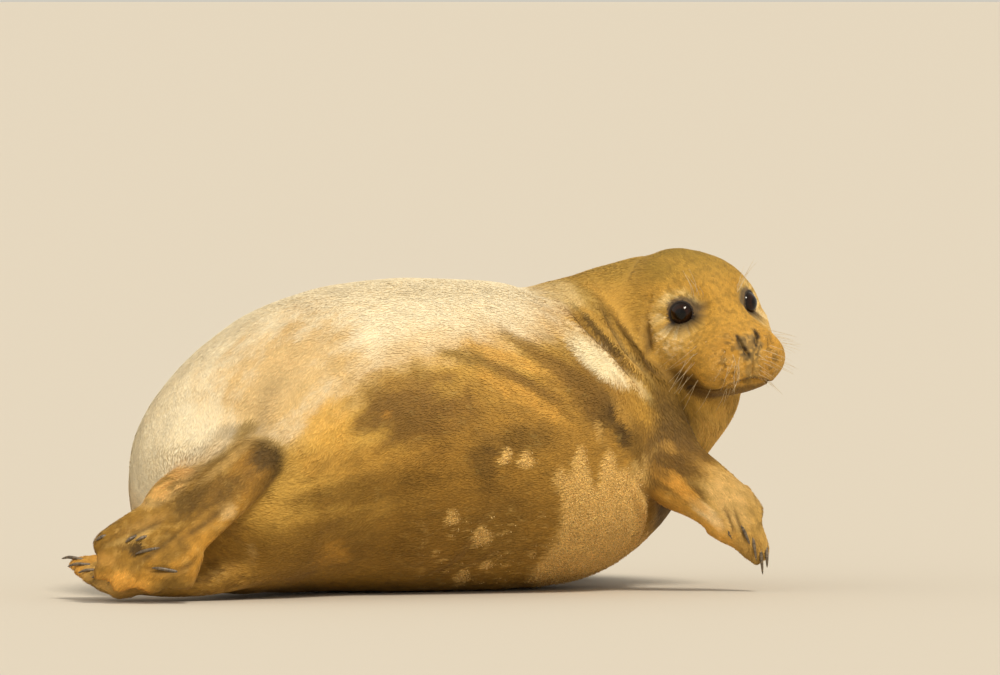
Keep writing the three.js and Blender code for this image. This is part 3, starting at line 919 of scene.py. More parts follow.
LIMB_TONES = {  # back, outer half, and which edge trails
    "fore_flipper_right": ("#6f4e1e", "#d6a862", 1),
    "fore_flipper_left": ("#7f5c25", "#b5853d", 1),
    "hind_flipper_right": ("#7b5826", "#a0742f", -1),
    "hind_flipper_left": ("#a87b38", "#cfa05c", 1),
    "tail": ("#e2b069", "#e2b069", 1),
}
LIMB_PATCHES = {
    "fore_flipper_right": [
        (322, 232, 30, 26, 20, "#57401d", 0.7),
        (352, 216, 40, 22, -45, "#6b4b1d", 0.7),
        (342, 206, 14, 9, -30, "#c08f4c", 0.6),
        (385, 182, 34, 20, -45, "#8a6329", 0.6),
        (402, 168, 26, 14, -45, "#cd9a54", 0.5),
        (350, 250, 46, 24, -52, "#66491e", 0.85),
        (350, 158, 44, 11, -38, "#e4a34c", 0.9),
        (330, 178, 22, 10, -50, "#5a4019", 0.7),
        (394, 116, 30, 9, -40, "#f0d09a", 0.85),
        (372, 136, 30, 8, -40, "#d89a48", 0.7),
        (430, 132, 54, 32, -55, "#e8bc7a", 0.7),
        (452, 66, 26, 30, -60, "#b98a4a", 0.6),
    ],
    "hind_flipper_right": [
        (-232, 190, 30, 26, 20, "#a87732", 0.7),
        (-210, 206, 22, 20, 40, "#4e3818", 0.85),
        (-190, 190, 12, 34, 0, "#4e3818", 0.8),
        (-262, 196, 60, 7, 38, "#c9a067", 0.6),
        (-318, 140, 36, 16, 35, "#62461c", 0.8),
        (-262, 128, 16, 14, 20, "#dcb47c", 0.8),
        (-290, 118, 30, 12, 40, "#b98945", 0.6),
        (-256, 156, 30, 14, 50, "#7b5823", 0.6),
        (-372, 112, 40, 10, 25, "#b78a50", 0.6),
        (-395, 92, 40, 6, 20, "#e0b573", 0.6),
        (-388, 76, 12, 9, 0, "#3f2c16", 0.85),
        (-430, 62, 26, 12, -10, "#c48f4b", 0.6),
        (-405, 26, 56, 20, -8, "#e0a04c", 0.9),
        (-342, 24, 34, 20, 10, "#836331", 0.8),
        (-335, 74, 24, 16, 30, "#8d6933", 0.5),
    ],
}


def patch(colour, x, z, spec, where, streak, fine, broad):
    """One soft oval of another colour, seen from the side, with an edge that noise makes ragged."""
    px, pz, reach_x, reach_z, lean, other, strength = spec
    c, s = math.cos(math.radians(lean)), math.sin(math.radians(lean))
    u, v = ((x - px) * c + (z - pz) * s) / reach_x, ((z - pz) * c - (x - px) * s) / reach_z
    inside = 1.3 - np.sqrt(u * u + v * v) + 0.26 * streak + 0.16 * fine + 0.1 * broad
    return blend_to(colour, other, where * strength * smooth(inside / 0.85))


def evenly(hex_colour, count):
    return np.repeat(linear(hex_colour)[None, :3], count, 0)


def layered(colour, *layers):
    """Colours laid over a first one in turn, each as a hex colour and how much of it shows at every point."""
    for other, amount in layers:
        colour = blend_to(colour, other, amount)
    return colour


def body_tones(points, place, drawn, near, streak, fine, broad):
    """A cream back, golden flank and olive belly, a brown neck, the near side's patches and the far side's blotches;
    some near patches are painted shade, along the neck folds, below the chin and in the recess by the fore flipper.
    """
    x, _, z = points.T
    share, turn = place[:, 0, 0], np.arctan2(place[:, 0, 2], place[:, 0, 1])
    below = np.interp(x, *CREAM_ENDS) - z + 16 * broad + 16 * streak
    right = smooth((x + 90) / 120)
    nape = smooth((share - 0.76 + 0.02 * streak) / 0.08)
    bands = [np.exp(-(((turn - where) / width) ** 2)) * smooth((share - 0.2) * 4) for where, width in BACK_BANDS]
    colour = layered(
        evenly(CREAM, len(points)),
        (GOLD, smooth((below + 48) / 114)),
        (BROWN, smooth((below - 30) / 90) * (0.25 + 0.75 * right)),
        (OLIVE, smooth((135 - z + 30 * broad + 16 * streak) / 70)),
        *[("#b79c68", 0.15 * band * smooth(0.5 + streak)) for band in bands],
        ("#c6964a", nape),
        ("#9c7c3c", 0.6 * nape * smooth((z - 405 + 10 * streak) / 50)),
        ("#cf9a42", 0.6 * nape * smooth((300 - z) / 60)),
    )
    for spec in PATCHES:
        colour = patch(colour, x, z, spec, near, streak, fine, broad)
    blotch = smooth((noise(points, 46, 31) + 0.35 * streak - 0.25) / 0.35) * (1 - near) * smooth((x + 300) / 80)
    tufty = smooth((ragged(points, drawn, 7, 35) - 0.15) / 0.5) * smooth((below + 10) / 80)
    fleck = smooth((noise(points, 7, 33) + 0.25 * noise(points, 60, 34) - 0.66) / 0.12)
    return layered(
        colour,
        (UMBER, 0.6 * blotch * smooth((340 - z) / 120)),
        ("#7a5824", 0.28 * tufty),
        ("#a98c58", 0.3 * fleck * smooth((share - 0.2) * 6) * smooth((0.8 - share) * 8)),
    )


def limb_tones(number, points, place, streak, fine, broad):
    """A flipper's brown back, paler outer half and golden trailing edge, then its own patches."""
    x, _, z = points.T
    along, across = place[:, number, :2].T
    inner, outer, edge_side = LIMB_TONES[PARTS[number]]
    edge = smooth((edge_side * across - 0.72 + 0.14 * streak) / 0.24)
    colour = layered(
        evenly(inner, len(points)),
        (outer, 0.9 * smooth((along - 0.45 + 0.12 * streak) / 0.25)),
        ("#d79a45", 0.7 * edge * smooth((along - 0.3) / 0.2)),
        ("#6d4c1e", 0.6 * smooth((fine - 0.1 + noise(points, 20, 40 + number)) / 0.5) * (1 - edge)),
        ("#d0a462", 0.4 * smooth((noise(points, 6, 46) + 0.6 * noise(points, 24, 47) - 0.35) / 0.4)),
    )
    for spec in LIMB_PATCHES.get(PARTS[number], ()):
        colour = patch(colour, x, z, spec, 1.0, streak, fine, broad)
    mottle = noise(points, 7, 48) + 0.6 * noise(points, 3.2, 49)
    return colour * (1 + 0.16 * mottle)[:, None]


def head_tones(points, streak, fine):
    """Golden brown, with pale rings round the eyes and pale cheeks, painted shade under the jaw and chin, and a mottled
    nose and lip.
    """
    head = to_head(points)
    hy, hz = head[:, 1], head[:, 2]
    side_at = np.c_[np.abs(head[:, 0]), head[:, 1:]]
    ring = np.linalg.norm(side_at - [58, 4, -4], axis=1)
    cheek = np.exp(-(((side_at - [66, 10, -40]) / [28, 34, 24]) ** 2).sum(1))
    beside = np.exp(-(((side_at - [70, 0, -30]) / [30, 38, 32]) ** 2).sum(1))
    pale = smooth((noise(points, 3.0, 57) + 0.5 * noise(points, 6, 58) - 0.05) / 0.3)
    muzzle = np.exp(-((np.maximum(0, np.linalg.norm(side_at - [16, 92, -50], axis=1) - 24) / 20) ** 2))
    # painted shade under the cheeks and jaw, below the whisker pads
    shade_under_jaw = smooth((-66 - hz + 8 * streak + 0.16 * (70 - hy)) / 18) * smooth((90 - hy) / 30)
    # painted shade on the underside of the lower jaw's tip
    shade_under_chin = smooth((-85 - hz) / 6) * smooth((hy - 40) / 20)
    nose_far = np.linalg.norm((head - [-3, 104, -30]) / [1.1, 1, 1.0], axis=1)
    lip_far = np.linalg.norm((head - [-6, 104, -60]) / [0.75, 1, 1.7], axis=1)
    mottle = noise(points, 5, 54) + 0.5 * noise(points, 2.4, 55)
    dark_speck = smooth((noise(points, 4.5, 51) + 0.5 * noise(points, 15, 52) - 0.25) / 0.3) * muzzle
    pale_speck = smooth((noise(points, 3.4, 53) - 0.2) / 0.3)
    return layered(
        evenly("#c99644", len(points)),
        ("#b0883f", 0.8 * smooth((hz - 26 + 10 * streak) / 34)),
        ("#9a7a38", 0.85 * smooth((-hy - 16 + 16 * streak) / 60) * smooth((hz + 50) / 60)),
        ("#f0cf8e", 0.8 * np.exp(-(((ring - 28) / 9) ** 2)) * (0.75 + 0.6 * fine)),
        ("#dcb374", 0.7 * cheek),
        ("#f6dcab", 0.75 * beside * pale),
        ("#bd8638", 0.7 * muzzle),
        ("#553813", 0.92 * shade_under_jaw),
        ("#76531f", 0.85 * shade_under_chin),
        (NOSE_GREY, (0.78 + 0.16 * mottle) * smooth((23 - nose_far + 3 * mottle) / 8)),
        ("#8d7048", (0.6 + 0.2 * mottle) * smooth((18 - lip_far + 3 * mottle) / 8)),
        ("#5f4a2c", 0.6 * dark_speck),
        ("#e6b066", 0.5 * pale_speck * muzzle),
        ("#82622c", 0.4 * smooth((noise(points, 4.5, 56) - 0.05) / 0.4) * (1 - muzzle)),
    )


def markings(points, weights, lie, place):
    """The coat's colour at each place: its own markings, with painted shade under the jaw and chin and in a few
    patches.
    """
    x, y, z = points.T
    step = np.minimum(place[:, 0, 0] * SPINE_STEPS, SPINE_STEPS - 1).astype(int)
    near = smooth((spine_at[step, 1] + 10 - y) / 60)
    bent = (near * smooth((x - 20) / 90) * smooth((z - 190) / 60))[:, None]
    drawn = unit(lie * (1 - bent) + bent * np.array([0.8, 0, -0.6]))  # streaks follow the bend of the neck here
    noises = ragged(points, drawn, 15, 21, 4.0), ragged(points, drawn, 4.5, 22), noise(points, 90, 23)
    streak, fine, _ = noises
    colour = body_tones(points, place, drawn, near, *noises)
    for i in range(2, len(PARTS)):
        colour += (limb_tones(i, points, place, *noises) - colour) * smooth(weights[:, i : i + 1] * 1.25)
    on_face = weights[:, 1:2] * 1.2 + 0.12 * streak[:, None] * weights[:, 1:2]
    colour += (head_tones(points, streak, fine) - colour) * smooth(on_face)
    bright = 1 + 0.07 * fine + 0.04 * noise(points, 30, 61) + 0.09 * weights[:, 1] * noise(points, 2.6, 62)
    colour = colour * bright[:, None] * [0.99, 1.04, 1.0]
    colour[:, 2] *= 0.72 + 0.28 * smooth(colour[:, 2] / 0.25)  # dark fur is yellower than a mix of the two would be
    return np.clip(colour, 0, 1)


def eye_rims(colour, angle, wide):
    """Bare dark skin on the lids: a narrow edge, and a greyer band that is wide above the eye."""
    past = np.degrees(angle) - math.degrees(LID_OPEN)
    colour = blend_to(colour, "#57483a", 0.85 * smooth((wide - past) / 7))
    return blend_to(colour, RIM, smooth((7 - past) / 4))


def lips_and_nostrils(colour, points):
    """Near black in the nostril slits, along the mouth line and in the ear holes: bare dark skin, deepened into painted
    shade in the slits and holes.
    """
    head = to_head(points)
    amount = np.zeros(len(points))
    close = head[:, 1] > 25
    for side in (1, -1):
        for line, width in ((NOSTRIL[side], 3.6), (mirrored(MOUTH, side), 2.8)):
            far, _ = near_line(head[close], on_skin(line))
            amount[close] = np.maximum(amount[close], np.exp(-((far / width) ** 2)))
        far = np.linalg.norm((head - [side * 82, -37, 12]) / [1, 1, 3], axis=1)
        amount = np.maximum(amount, np.exp(-((far / 2.4) ** 2)))
    return blend_to(colour, "#1e1611", 0.9 * amount)


head_at = to_head(at)
colour = markings(at, weights, lie, place)
# painted shade: the coat darkens along the creases of the folds
colour = blend_to(colour, "#5d441c", 0.75 * crease)
colour = eye_rims(colour, eye_angle, rim_wide)
colour = lips_and_nostrils(colour, at)

# %% Sand that clings to the flank
SAND_SPOTS = (119, 198, 12), (49, 112, 11), (87, 82, 15), (97, 42, 11), (60, 22, 12), (150, 190, 12)  # x, height, reach


def sandy(points):
    """Where wet sand has dried on the coat: a wide patch with a ragged upper edge, and a few small ones."""
    x, y, z = points.T
    near = smooth((60 - y) / 60)
    edge = 40 * noise(np.c_[x * 3.2, y, z * 0.4], 60, 71) + 14 * noise(np.c_[x * 3, y, z], 26, 72)
    fill = smooth((196 + edge - z) / 22) * smooth((z + 4) / 20)
    fill *= smooth((x - 160 + 20 * noise(points, 30, 73) - 0.3 * (z - 60)) / 24) * smooth((322 - x) / 16)
    amount = fill * (0.9 + 0.3 * noise(points, 12, 74))
    dusted = smooth((150 - z) / 80) * smooth((x + 60) / 120)
    amount = np.maximum(amount, 0.5 * smooth((noise(points, 6, 76) - 0.35) / 0.3) * dusted)
    for sx, sz, reach in SAND_SPOTS:
        far = np.hypot((x - sx) * 1.1, z - sz) + 7 * noise(points, 9, 75)
        amount = np.maximum(amount, 0.9 * smooth((reach - far) / 5))
    return np.clip(amount * near, 0, 1)


sand = sandy(at) * (1 - weights[:, 1]) * (1 - weights[:, 2])
pads = np.linalg.norm((np.c_[np.abs(head_at[:, 0]), head_at[:, 1:]] - [24, 96, -62]) / [1.3, 1, 1], axis=1)
sand = np.maximum(sand, 0.45 * on_head * smooth((34 - pads) / 14) * smooth(0.55 + noise(at, 9, 77)))
colour = blend_to(colour, SAND, sand * (1 - 0.6 * on_head))
print("markings:", len(PATCHES), "patches; sand on", round(float((sand > 0.5).mean()) * 100, 1), "% of the points")

# %% [markdown]
# All materials are Principled shaders fed by nodes. A short coat is dielectric, IOR 1.55 like any keratin, and rough,
# about 0.65 dry. Detail comes from noise at hair scale: streaks 0.8 mm wide and 7 mm long, laid along the coat by
# the "strand" numbers that every point carries, so the bump runs the way the hair does.

# %% Materials
KERATIN_IOR, QUARTZ_IOR, TEAR_IOR, CORNEA_IOR = 1.55, 1.54, 1.34, 1.376


def set_node(tree, node, links=(), **settings):
    """Gives a node its settings, and links given as (socket, the node or socket it reads)."""
    for name, value in settings.items():
        if hasattr(node, name):
            setattr(node, name, value)
        else:
            node.inputs[name.replace("_", " ")].default_value = value
    for name, source in links:
        target = node.inputs[name]
        tree.links.new(source if isinstance(source, bpy.types.NodeSocket) else source.outputs[0], target)
    return node


def add_node(tree, kind, links=(), **settings):
    return set_node(tree, tree.nodes.new(kind), links, **settings)


def ramp_node(tree, source, *stops):
    """A colour ramp, with its stops given as (position, hex colour). A new ramp has two already."""
    node = add_node(tree, "ShaderNodeValToRGB", [("Fac", source)])
    elements = node.color_ramp.elements
    for number, (position, hex_colour) in enumerate(stops):
        stop = elements[number] if number < 2 else elements.new(position)
        stop.position, stop.color = position, linear(hex_colour)
    return node


def new_material(name):
    material = bpy.data.materials.new(name)
    material.use_nodes = True
    tree = material.node_tree
    tree.nodes.clear()
    output = tree.nodes.new("ShaderNodeOutputMaterial")
    shader = tree.nodes.new("ShaderNodeBsdfPrincipled")
    tree.links.new(shader.outputs[0], output.inputs[0])
    return material, tree, shader


def math_node(tree, operation, *values):
    """A sum on plain numbers, nodes and sockets."""
    links = [(i, value) for i, value in enumerate(values) if not isinstance(value, (int, float))]
    node = add_node(tree, "ShaderNodeMath", links, operation=operation)
    for socket, value in zip(node.inputs, values):
        if isinstance(value, (int, float)):
            socket.default_value = value
    return node


def coat_material(name, roughness, streak_depth):
    """Hair coat: colour from the markings, streaked along the hair; IOR 1.55, roughness 0.6 to 0.7."""
    material, tree, shader = new_material(name)
    marks = add_node(tree, "ShaderNodeAttribute", attribute_name="marks")
    strand = add_node(tree, "ShaderNodeAttribute", attribute_name="strand")
    sand_in = add_node(tree, "ShaderNodeAttribute", attribute_name="sand")
    place_in = add_node(tree, "ShaderNodeTexCoord")
    hairs = add_node(tree, "ShaderNodeTexNoise", [("Vector", strand.outputs["Vector"])], Scale=1.0, Detail=2.0)
    soft = add_node(
        tree, "ShaderNodeTexNoise", [("Vector", place_in.outputs["Object"])], Scale=140.0, Detail=3.0, Roughness=0.6
    )
    grains = add_node(tree, "ShaderNodeTexVoronoi", [("Vector", place_in.outputs["Object"])], Scale=520.0)
    light = math_node(tree, "MULTIPLY_ADD", hairs.outputs["Fac"], 0.5, 0.75)
    light = math_node(tree, "MULTIPLY", light, math_node(tree, "MULTIPLY_ADD", soft.outputs["Fac"], 0.3, 0.85))
    mottled = math_node(tree, "SUBTRACT", grains.outputs["Distance"], 0.35)
    mottled = math_node(tree, "MULTIPLY", sand_in.outputs["Fac"], mottled)
    light = math_node(tree, "SUBTRACT", light, math_node(tree, "MULTIPLY", mottled, 1.1))
    tinted = add_node(
        tree, "ShaderNodeVectorMath", [(0, marks.outputs["Color"]), ("Scale", light)], operation="SCALE"
    )
    height = math_node(tree, "ADD", hairs.outputs["Fac"], math_node(tree, "MULTIPLY", soft.outputs["Fac"], 0.5))
    height = math_node(tree, "ADD", height, math_node(tree, "MULTIPLY", mottled, 3.0))
    bump = add_node(tree, "ShaderNodeBump", [("Height", height)], Strength=0.7, Distance=streak_depth * MM)
    rough = math_node(tree, "MULTIPLY_ADD", soft.outputs["Fac"], 0.16, roughness - 0.08)
    links = [("Base Color", tinted), ("Normal", bump), ("Roughness", rough)]
    sheen = dict(Sheen_Weight=0.1, Sheen_Roughness=0.5, Sheen_Tint=linear("#e8cfa0"))
    set_node(tree, shader, links, IOR=KERATIN_IOR, Specular_IOR_Level=0.28, **sheen)
    return material


HAIR_COAT = coat_material("seal hair coat", 0.68, 0.4)
FACE_COAT = coat_material("seal face hair", 0.62, 0.5)
SKIN = coat_material("seal skin under hair", 0.68, 0.5)

# %% The skin, as one piece
STREAK_WIDE, STREAK_LONG = 0.8, 7.0  # millimetres


def strands(points, lie, normals):
    """Coordinates in which one unit is a hair streak's width across the lie, and a streak's length along it."""
    across = np.cross(normals, lie)
    base = np.c_[(points * across).sum(1) / STREAK_WIDE, (points * lie).sum(1) / STREAK_LONG]
    return np.c_[base, (points * normals).sum(1) / 40]


def finish_piece(piece, colour, lie, normals, points, sand_values):
    give(piece.data, "marks", np.c_[colour, np.ones(len(colour))])
    give(piece.data, "strand", strands(points, lie, normals))
    give(piece.data, "sand", sand_values)


skin_mesh.vertices.foreach_set("co", (at * MM).astype(np.float32).ravel())
skin_mesh.polygons.foreach_set("use_smooth", np.ones(len(skin_mesh.polygons), bool))
skin_mesh.update()
skin_mesh.materials.append(SKIN)
skin = bpy.data.objects.new("skin", skin_mesh)
scene.collection.objects.link(skin)
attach(skin, "root")
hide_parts(*BODY_CUTS, "head", *LIMBS)
finish_piece(skin, colour, lie, normals, at, sand)

# %% [markdown]
# A lock of hair is one leaf of four faces: a root, two edges, a raised middle and a tip. It starts in the skin, lies
# back at a low angle and ends just clear of it. Seals have short hair, here about 10 mm on the trunk and 3 to 5 mm
# on the head, so locks are small and there are many of them. They are spread by area: each face of the skin gets
# locks in proportion to its size and to how close together the hair stands there.

# %% Where the locks grow
LONG = {"trunk": 10.0, "head": 5.0, "foot": 5.5}  # a lock's length in millimetres
APART = {"trunk": 2.75, "head": 1.8, "foot": 2.1}  # millimetres from one lock to the next
triangles = []
for polygon_size in (3, 4):
    chosen = [tuple(p.vertices) for p in skin_mesh.polygons if len(p.vertices) == polygon_size]
    chosen = np.array(chosen, int).reshape(-1, polygon_size)
    triangles.append(chosen[:, :3])
    if polygon_size == 4:
        triangles.append(chosen[:, [0, 2, 3]])
triangles = np.vstack(triangles)
area = 0.5 * np.linalg.norm(
    np.cross(at[triangles[:, 1]] - at[triangles[:, 0]], at[triangles[:, 2]] - at[triangles[:, 0]]), axis=1
)
head_at = to_head(at)
nose_far = np.linalg.norm((head_at - [0, 104, -38]) / [1.1, 1, 1.25], axis=1)
rim_far = np.degrees(eye_angle) - math.degrees(LID_OPEN)
bald = np.maximum(smooth((29 - nose_far) / 5), np.where(on_head > 0.3, smooth((6 - rim_far) / 4), 0))
headwards = smooth(on_head * 1.4)
front = smooth((head_at[:, 1] + 60) / 120) * on_head
foot = np.clip(limb_share, 0, 1) * smooth((toes - 0.15) * 2)
length = LONG["trunk"] + (LONG["head"] - LONG["trunk"]) * headwards - 2.4 * front
length += (LONG["foot"] - length) * foot
length *= 1 - 0.45 * np.clip(1.5 * crease, 0, 1)
spacing = APART["trunk"] + (APART["head"] - APART["trunk"]) * headwards - 0.15 * front
spacing += (APART["foot"] - spacing) * foot
lift = 0.9 - 0.4 * headwards - 0.3 * foot
lift += 0.5 * np.clip(noise(at, 34, 81), 0, 1) * (1 - on_head)
lift += 2.4 * smooth(1 - np.hypot(at[:, 0] + 330, at[:, 2] - 185) / 60) * (at[:, 1] < -200)

density = (1 - bald)[triangles].mean(1) / spacing[triangles].mean(1) ** 2
expected = np.cumsum(area * density)
count = int(expected[-1])
picked = np.searchsorted(expected, (np.arange(count) + rng.random(count)) / count * expected[-1])
picked = np.minimum(picked, len(triangles) - 1)
a, b = rng.random(count), rng.random(count)
flip = a + b > 1
a[flip], b[flip] = 1 - a[flip], 1 - b[flip]
mix = np.stack([1 - a - b, a, b], 1)


def at_roots(values):
    values = np.asarray(values)
    own = values[triangles[picked]]
    return (own * (mix if values.ndim == 1 else mix[..., None])).sum(1)


root, root_normal = at_roots(at), unit(at_roots(normals))
root_lie = at_roots(lie)
root_lie = unit(root_lie - root_normal * (root_lie * root_normal).sum(1, keepdims=True))
root_weights = at_roots(weights)
root_place = np.stack([at_roots(place[:, i]) for i in range(len(PARTS))], 1)
root_colour = at_roots(colour)
root_sand = at_roots(sand)
size, rise = at_roots(length), at_roots(lift)
size = size * (0.75 + 0.5 * rng.random(count))
rise = rise * (0.5 + 0.9 * rng.random(count))
swirl = 0.35 * noise(root, 28, 91) + 0.2 * noise(root, 9, 92) + 0.16 * rng.normal(size=count)
side = np.cross(root_normal, root_lie)
lay = unit(root_lie * np.cos(swirl)[:, None] + side * np.sin(swirl)[:, None])
side = np.cross(root_normal, lay)
shade = 1 + (0.045 + 0.06 * at_roots(on_head + 0.5 * limb_share)) * rng.normal(size=count)
root_colour = np.clip(root_colour * np.clip(shade, 0.6, 1.45)[:, None], 0, 1)
print("locks:", count)

# %% [markdown]
# The locks' own map, OFBake, is for baking colours: every lock is a patch 0.003 wide at its root's place on an
# unwrap of the body, with u around the part and v along it, so neighbours on the body are neighbours on the map.

# %% Coat pieces
PATCH = 0.003
coat_part = root_weights.argmax(1)
body_share = root_place[:, 0, 0]
groups = {}
cuts = [0, 0.17, 0.3, 0.43, 0.56, 0.68, 0.8, 1.01]
for i in range(len(cuts) - 1):
    groups[f"coat_trunk_{i + 1}"] = (coat_part == 0) & (body_share >= cuts[i]) & (body_share < cuts[i + 1]), 0
groups["coat_head"] = coat_part == 1, 1
for i, name in enumerate(LIMBS, 2):
    groups["coat_" + name] = coat_part == i, i


def lock_points(i):
    """Five points of each lock: root, left, middle, right and tip."""
    width = (0.05 * size[i] + 0.35)[:, None]
    start = root[i] - 0.4 * root_normal[i]
    middle = start + lay[i] * (0.5 * size[i])[:, None] + root_normal[i] * (0.7 * rise[i] + 0.4)[:, None]
    tip = start + lay[i] * size[i][:, None] + root_normal[i] * (rise[i] + 0.4)[:, None]
    crest = middle + root_normal[i] * (0.2 + 0.012 * size[i])[:, None]
    points = np.stack([start, middle - side[i] * width, crest, middle + side[i] * width, tip], 1)
    points[..., 2] = np.maximum(points[..., 2], 0.15)
    return points


LEAF = np.array([(0, 2, 1), (0, 3, 2), (1, 2, 4), (2, 3, 4)])
for name, (chosen, part) in groups.items():
    i = np.flatnonzero(chosen)
    if not len(i):
        continue
    points = lock_points(i)
    faces = (LEAF[None] + 5 * np.arange(len(i))[:, None, None]).reshape(-1, 3)
    on_face = part == 1
    piece = make_piece(name, points.reshape(-1, 3), faces, FACE_COAT if on_face else HAIR_COAT)
    tips = np.tile([0.93, 1.0, 1.02, 1.0, 1.06], len(i))[:, None]
    finish_piece(
        piece,
        np.clip(np.repeat(root_colour[i], 5, 0) * tips, 0, 1),
        np.repeat(lay[i], 5, 0),
        np.repeat(root_normal[i], 5, 0),
        points.reshape(-1, 3),
        np.repeat(root_sand[i], 5),
    )
    along = root_place[i, part, 0]
    around = np.arctan2(root_place[i, part, 2], root_place[i, part, 1]) / (2 * np.pi) + 0.5
    along = (along - along.min()) / max(np.ptp(along), 1e-6)
    corner = np.array([(0, -0.5), (-0.5, 0), (0, 0), (0.5, 0), (0, 0.5)]) * PATCH
    spots = np.stack([around, along], 1) * (1 - 2 * PATCH) + PATCH
    flat = (spots[:, None] + corner[None]).reshape(-1, 2)
    layer = piece.data.uv_layers.new(name="OFBake")
    layer.data.foreach_set("uv", flat[faces.ravel()].astype(np.float32).ravel())
    print(name, len(faces), "triangles")

# %% [markdown]
# The eye of a seal is large, round and nearly black, with a wet cornea that shows the lights as sharp points. The
# ball is a sphere with the cornea swelling out of it. Its colour goes from the black pupil to a dark brown iris by
# the angle from the way it looks.

# %% Eyes
def ball(side, rings=60, sides=72):
    looks = EYE_LOOKS * [side, 1, 1]
    across = unit(np.cross(looks, [0, 0, 1]))
    up = np.cross(across, looks)
    angle, turns = np.linspace(0, np.pi, rings), np.linspace(0, 2 * np.pi, sides, endpoint=False)
    radius = EYE_RADIUS + 0.9 * np.exp(-((angle / 0.55) ** 4))
    out = np.cos(angle)[:, None, None] * looks
    out = out + np.sin(angle)[:, None, None] * (np.cos(turns)[:, None] * across + np.sin(turns)[:, None] * up)
    points, faces = loft(from_head(EYE_AT * [side, 1, 1] + out * radius[:, None, None]))
    return points, faces, np.r_[np.repeat(angle, sides), 0, np.pi]


def eye_material():
    """Wet cornea over a dark iris: tears have IOR 1.34 and are as smooth as glass."""
    material, tree, shader = new_material("wet seal eye")
    turn = add_node(tree, "ShaderNodeAttribute", attribute_name="from_pupil")
    spot_in = add_node(tree, "ShaderNodeTexCoord")
    fibres = add_node(tree, "ShaderNodeTexNoise", [("Vector", spot_in.outputs["Object"])], Scale=900.0, Detail=4.0)
    stops = (0.34, "#040303"), (0.5, "#2a150a"), (0.8, "#1b0e07"), (0.95, "#0c0705")
    ramp = ramp_node(tree, turn.outputs["Fac"], *stops)
    light = math_node(tree, "MULTIPLY_ADD", fibres.outputs["Fac"], 0.8, 0.6)
    tinted = add_node(tree, "ShaderNodeVectorMath", [(0, ramp.outputs["Color"]), ("Scale", light)], operation="SCALE")
    wet = dict(Coat_Weight=0.45, Coat_Roughness=0.02, Coat_IOR=TEAR_IOR)
    set_node(tree, shader, [("Base Color", tinted)], Roughness=0.06, IOR=CORNEA_IOR, Specular_IOR_Level=0.25, **wet)
    return material


EYE = eye_material()
for name, side_of in (("eye_right", 1), ("eye_left", -1)):
    points, faces, turned = ball(side_of)
    piece = make_piece("seal_" + name, points, faces, EYE)
    give(piece.data, "from_pupil", turned)
    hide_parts(name)

# %% [markdown]
# Claws are keratin, dark grey and a little glossy. Each one is a bent cone from the digit's back to a blunt point.

# %% Claws
def horn_material(name, dark, pale, roughness):
    """Keratin: IOR 1.55, roughness 0.35 when worn smooth, with growth lines about 0.6 mm apart."""
    material, tree, shader = new_material(name)
    along = add_node(tree, "ShaderNodeAttribute", attribute_name="grown")
    lines = add_node(tree, "ShaderNodeTexNoise", [("Vector", along.outputs["Vector"])], Scale=1.0, Detail=3.0)
    ramp = ramp_node(tree, lines.outputs["Fac"], (0.3, dark), (0.75, pale))
    bump = add_node(tree, "ShaderNodeBump", [("Height", lines.outputs["Fac"])], Strength=0.4, Distance=0.3 * MM)
    rough = math_node(tree, "MULTIPLY_ADD", lines.outputs["Fac"], 0.2, roughness - 0.1)
    links = [("Base Color", ramp.outputs["Color"]), ("Normal", bump), ("Roughness", rough)]
    set_node(tree, shader, links, IOR=KERATIN_IOR)
    return material


def tube(line, radii, rings=14, sides=16, faces_way=(0, 0, 1)):
    """A tapering tube along a curve, with a rounded tip."""
    shares, turns = np.linspace(0, 1, rings), np.linspace(0, 2 * np.pi, sides, endpoint=False)
    centre, along = curve(line, shares), tangent(line, shares)
    broad = unit(np.cross(along, faces_way))
    flat = np.cross(broad, along)
    radius = curve([(r, 0, 0) for r in radii], shares)[:, :1] * dome((1 - shares) / 0.08)[:, None]
    points = centre[:, None] + broad[:, None] * (radius * np.cos(turns))[..., None]
    points += flat[:, None] * (radius * np.sin(turns))[..., None]
    points[..., 2] = np.maximum(points[..., 2], 0.1)
    points, faces = loft(points)
    return points, faces, np.r_[np.repeat(shares, sides), 0, 1]


def join(tubes):
    points, faces, grown, base = [], [], [], 0
    for p, f, g in tubes:
        points.append(p)
        faces.append(f + base)
        grown.append(g)
        base += len(p)
    return np.vstack(points), np.vstack(faces), np.concatenate(grown)


CLAW = horn_material("dark claw keratin", "#3a3128", "#86745a", 0.36)
for name, limb in LIMBS.items():
    if not limb["claws"]:
        continue
    claws = []
    for claw_root, claw_tip in np.array(limb["claws"], float):
        radius, out = limb["claw"] * 0.72, unit(np.array(limb["faces"], float))
        back = claw_root - 0.25 * (claw_tip - claw_root) - out * radius * 0.6
        bend = claw_root + 0.55 * (claw_tip - claw_root) + out * radius
        radii = [radius, radius, radius * 0.85, radius * 0.3]
        claws.append(tube([back, claw_root, bend, claw_tip], radii, faces_way=out))
    points, faces, grown = join(claws)
    piece = make_piece("claws_" + name.replace("_flipper", ""), points, faces, CLAW)
    give(piece.data, "grown", np.c_[points[:, :2] * 0.15, grown * 24])
    short = name.replace("flipper_", "")
    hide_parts(*[f"claw_{short}_{k + 1}" for k in range(5)])

# %% [markdown]
# Whiskers are single stiff hairs, pale, and 15 to 70 mm long here. They stand in rows on the pads beside the nose,
# with a few more above each eye.

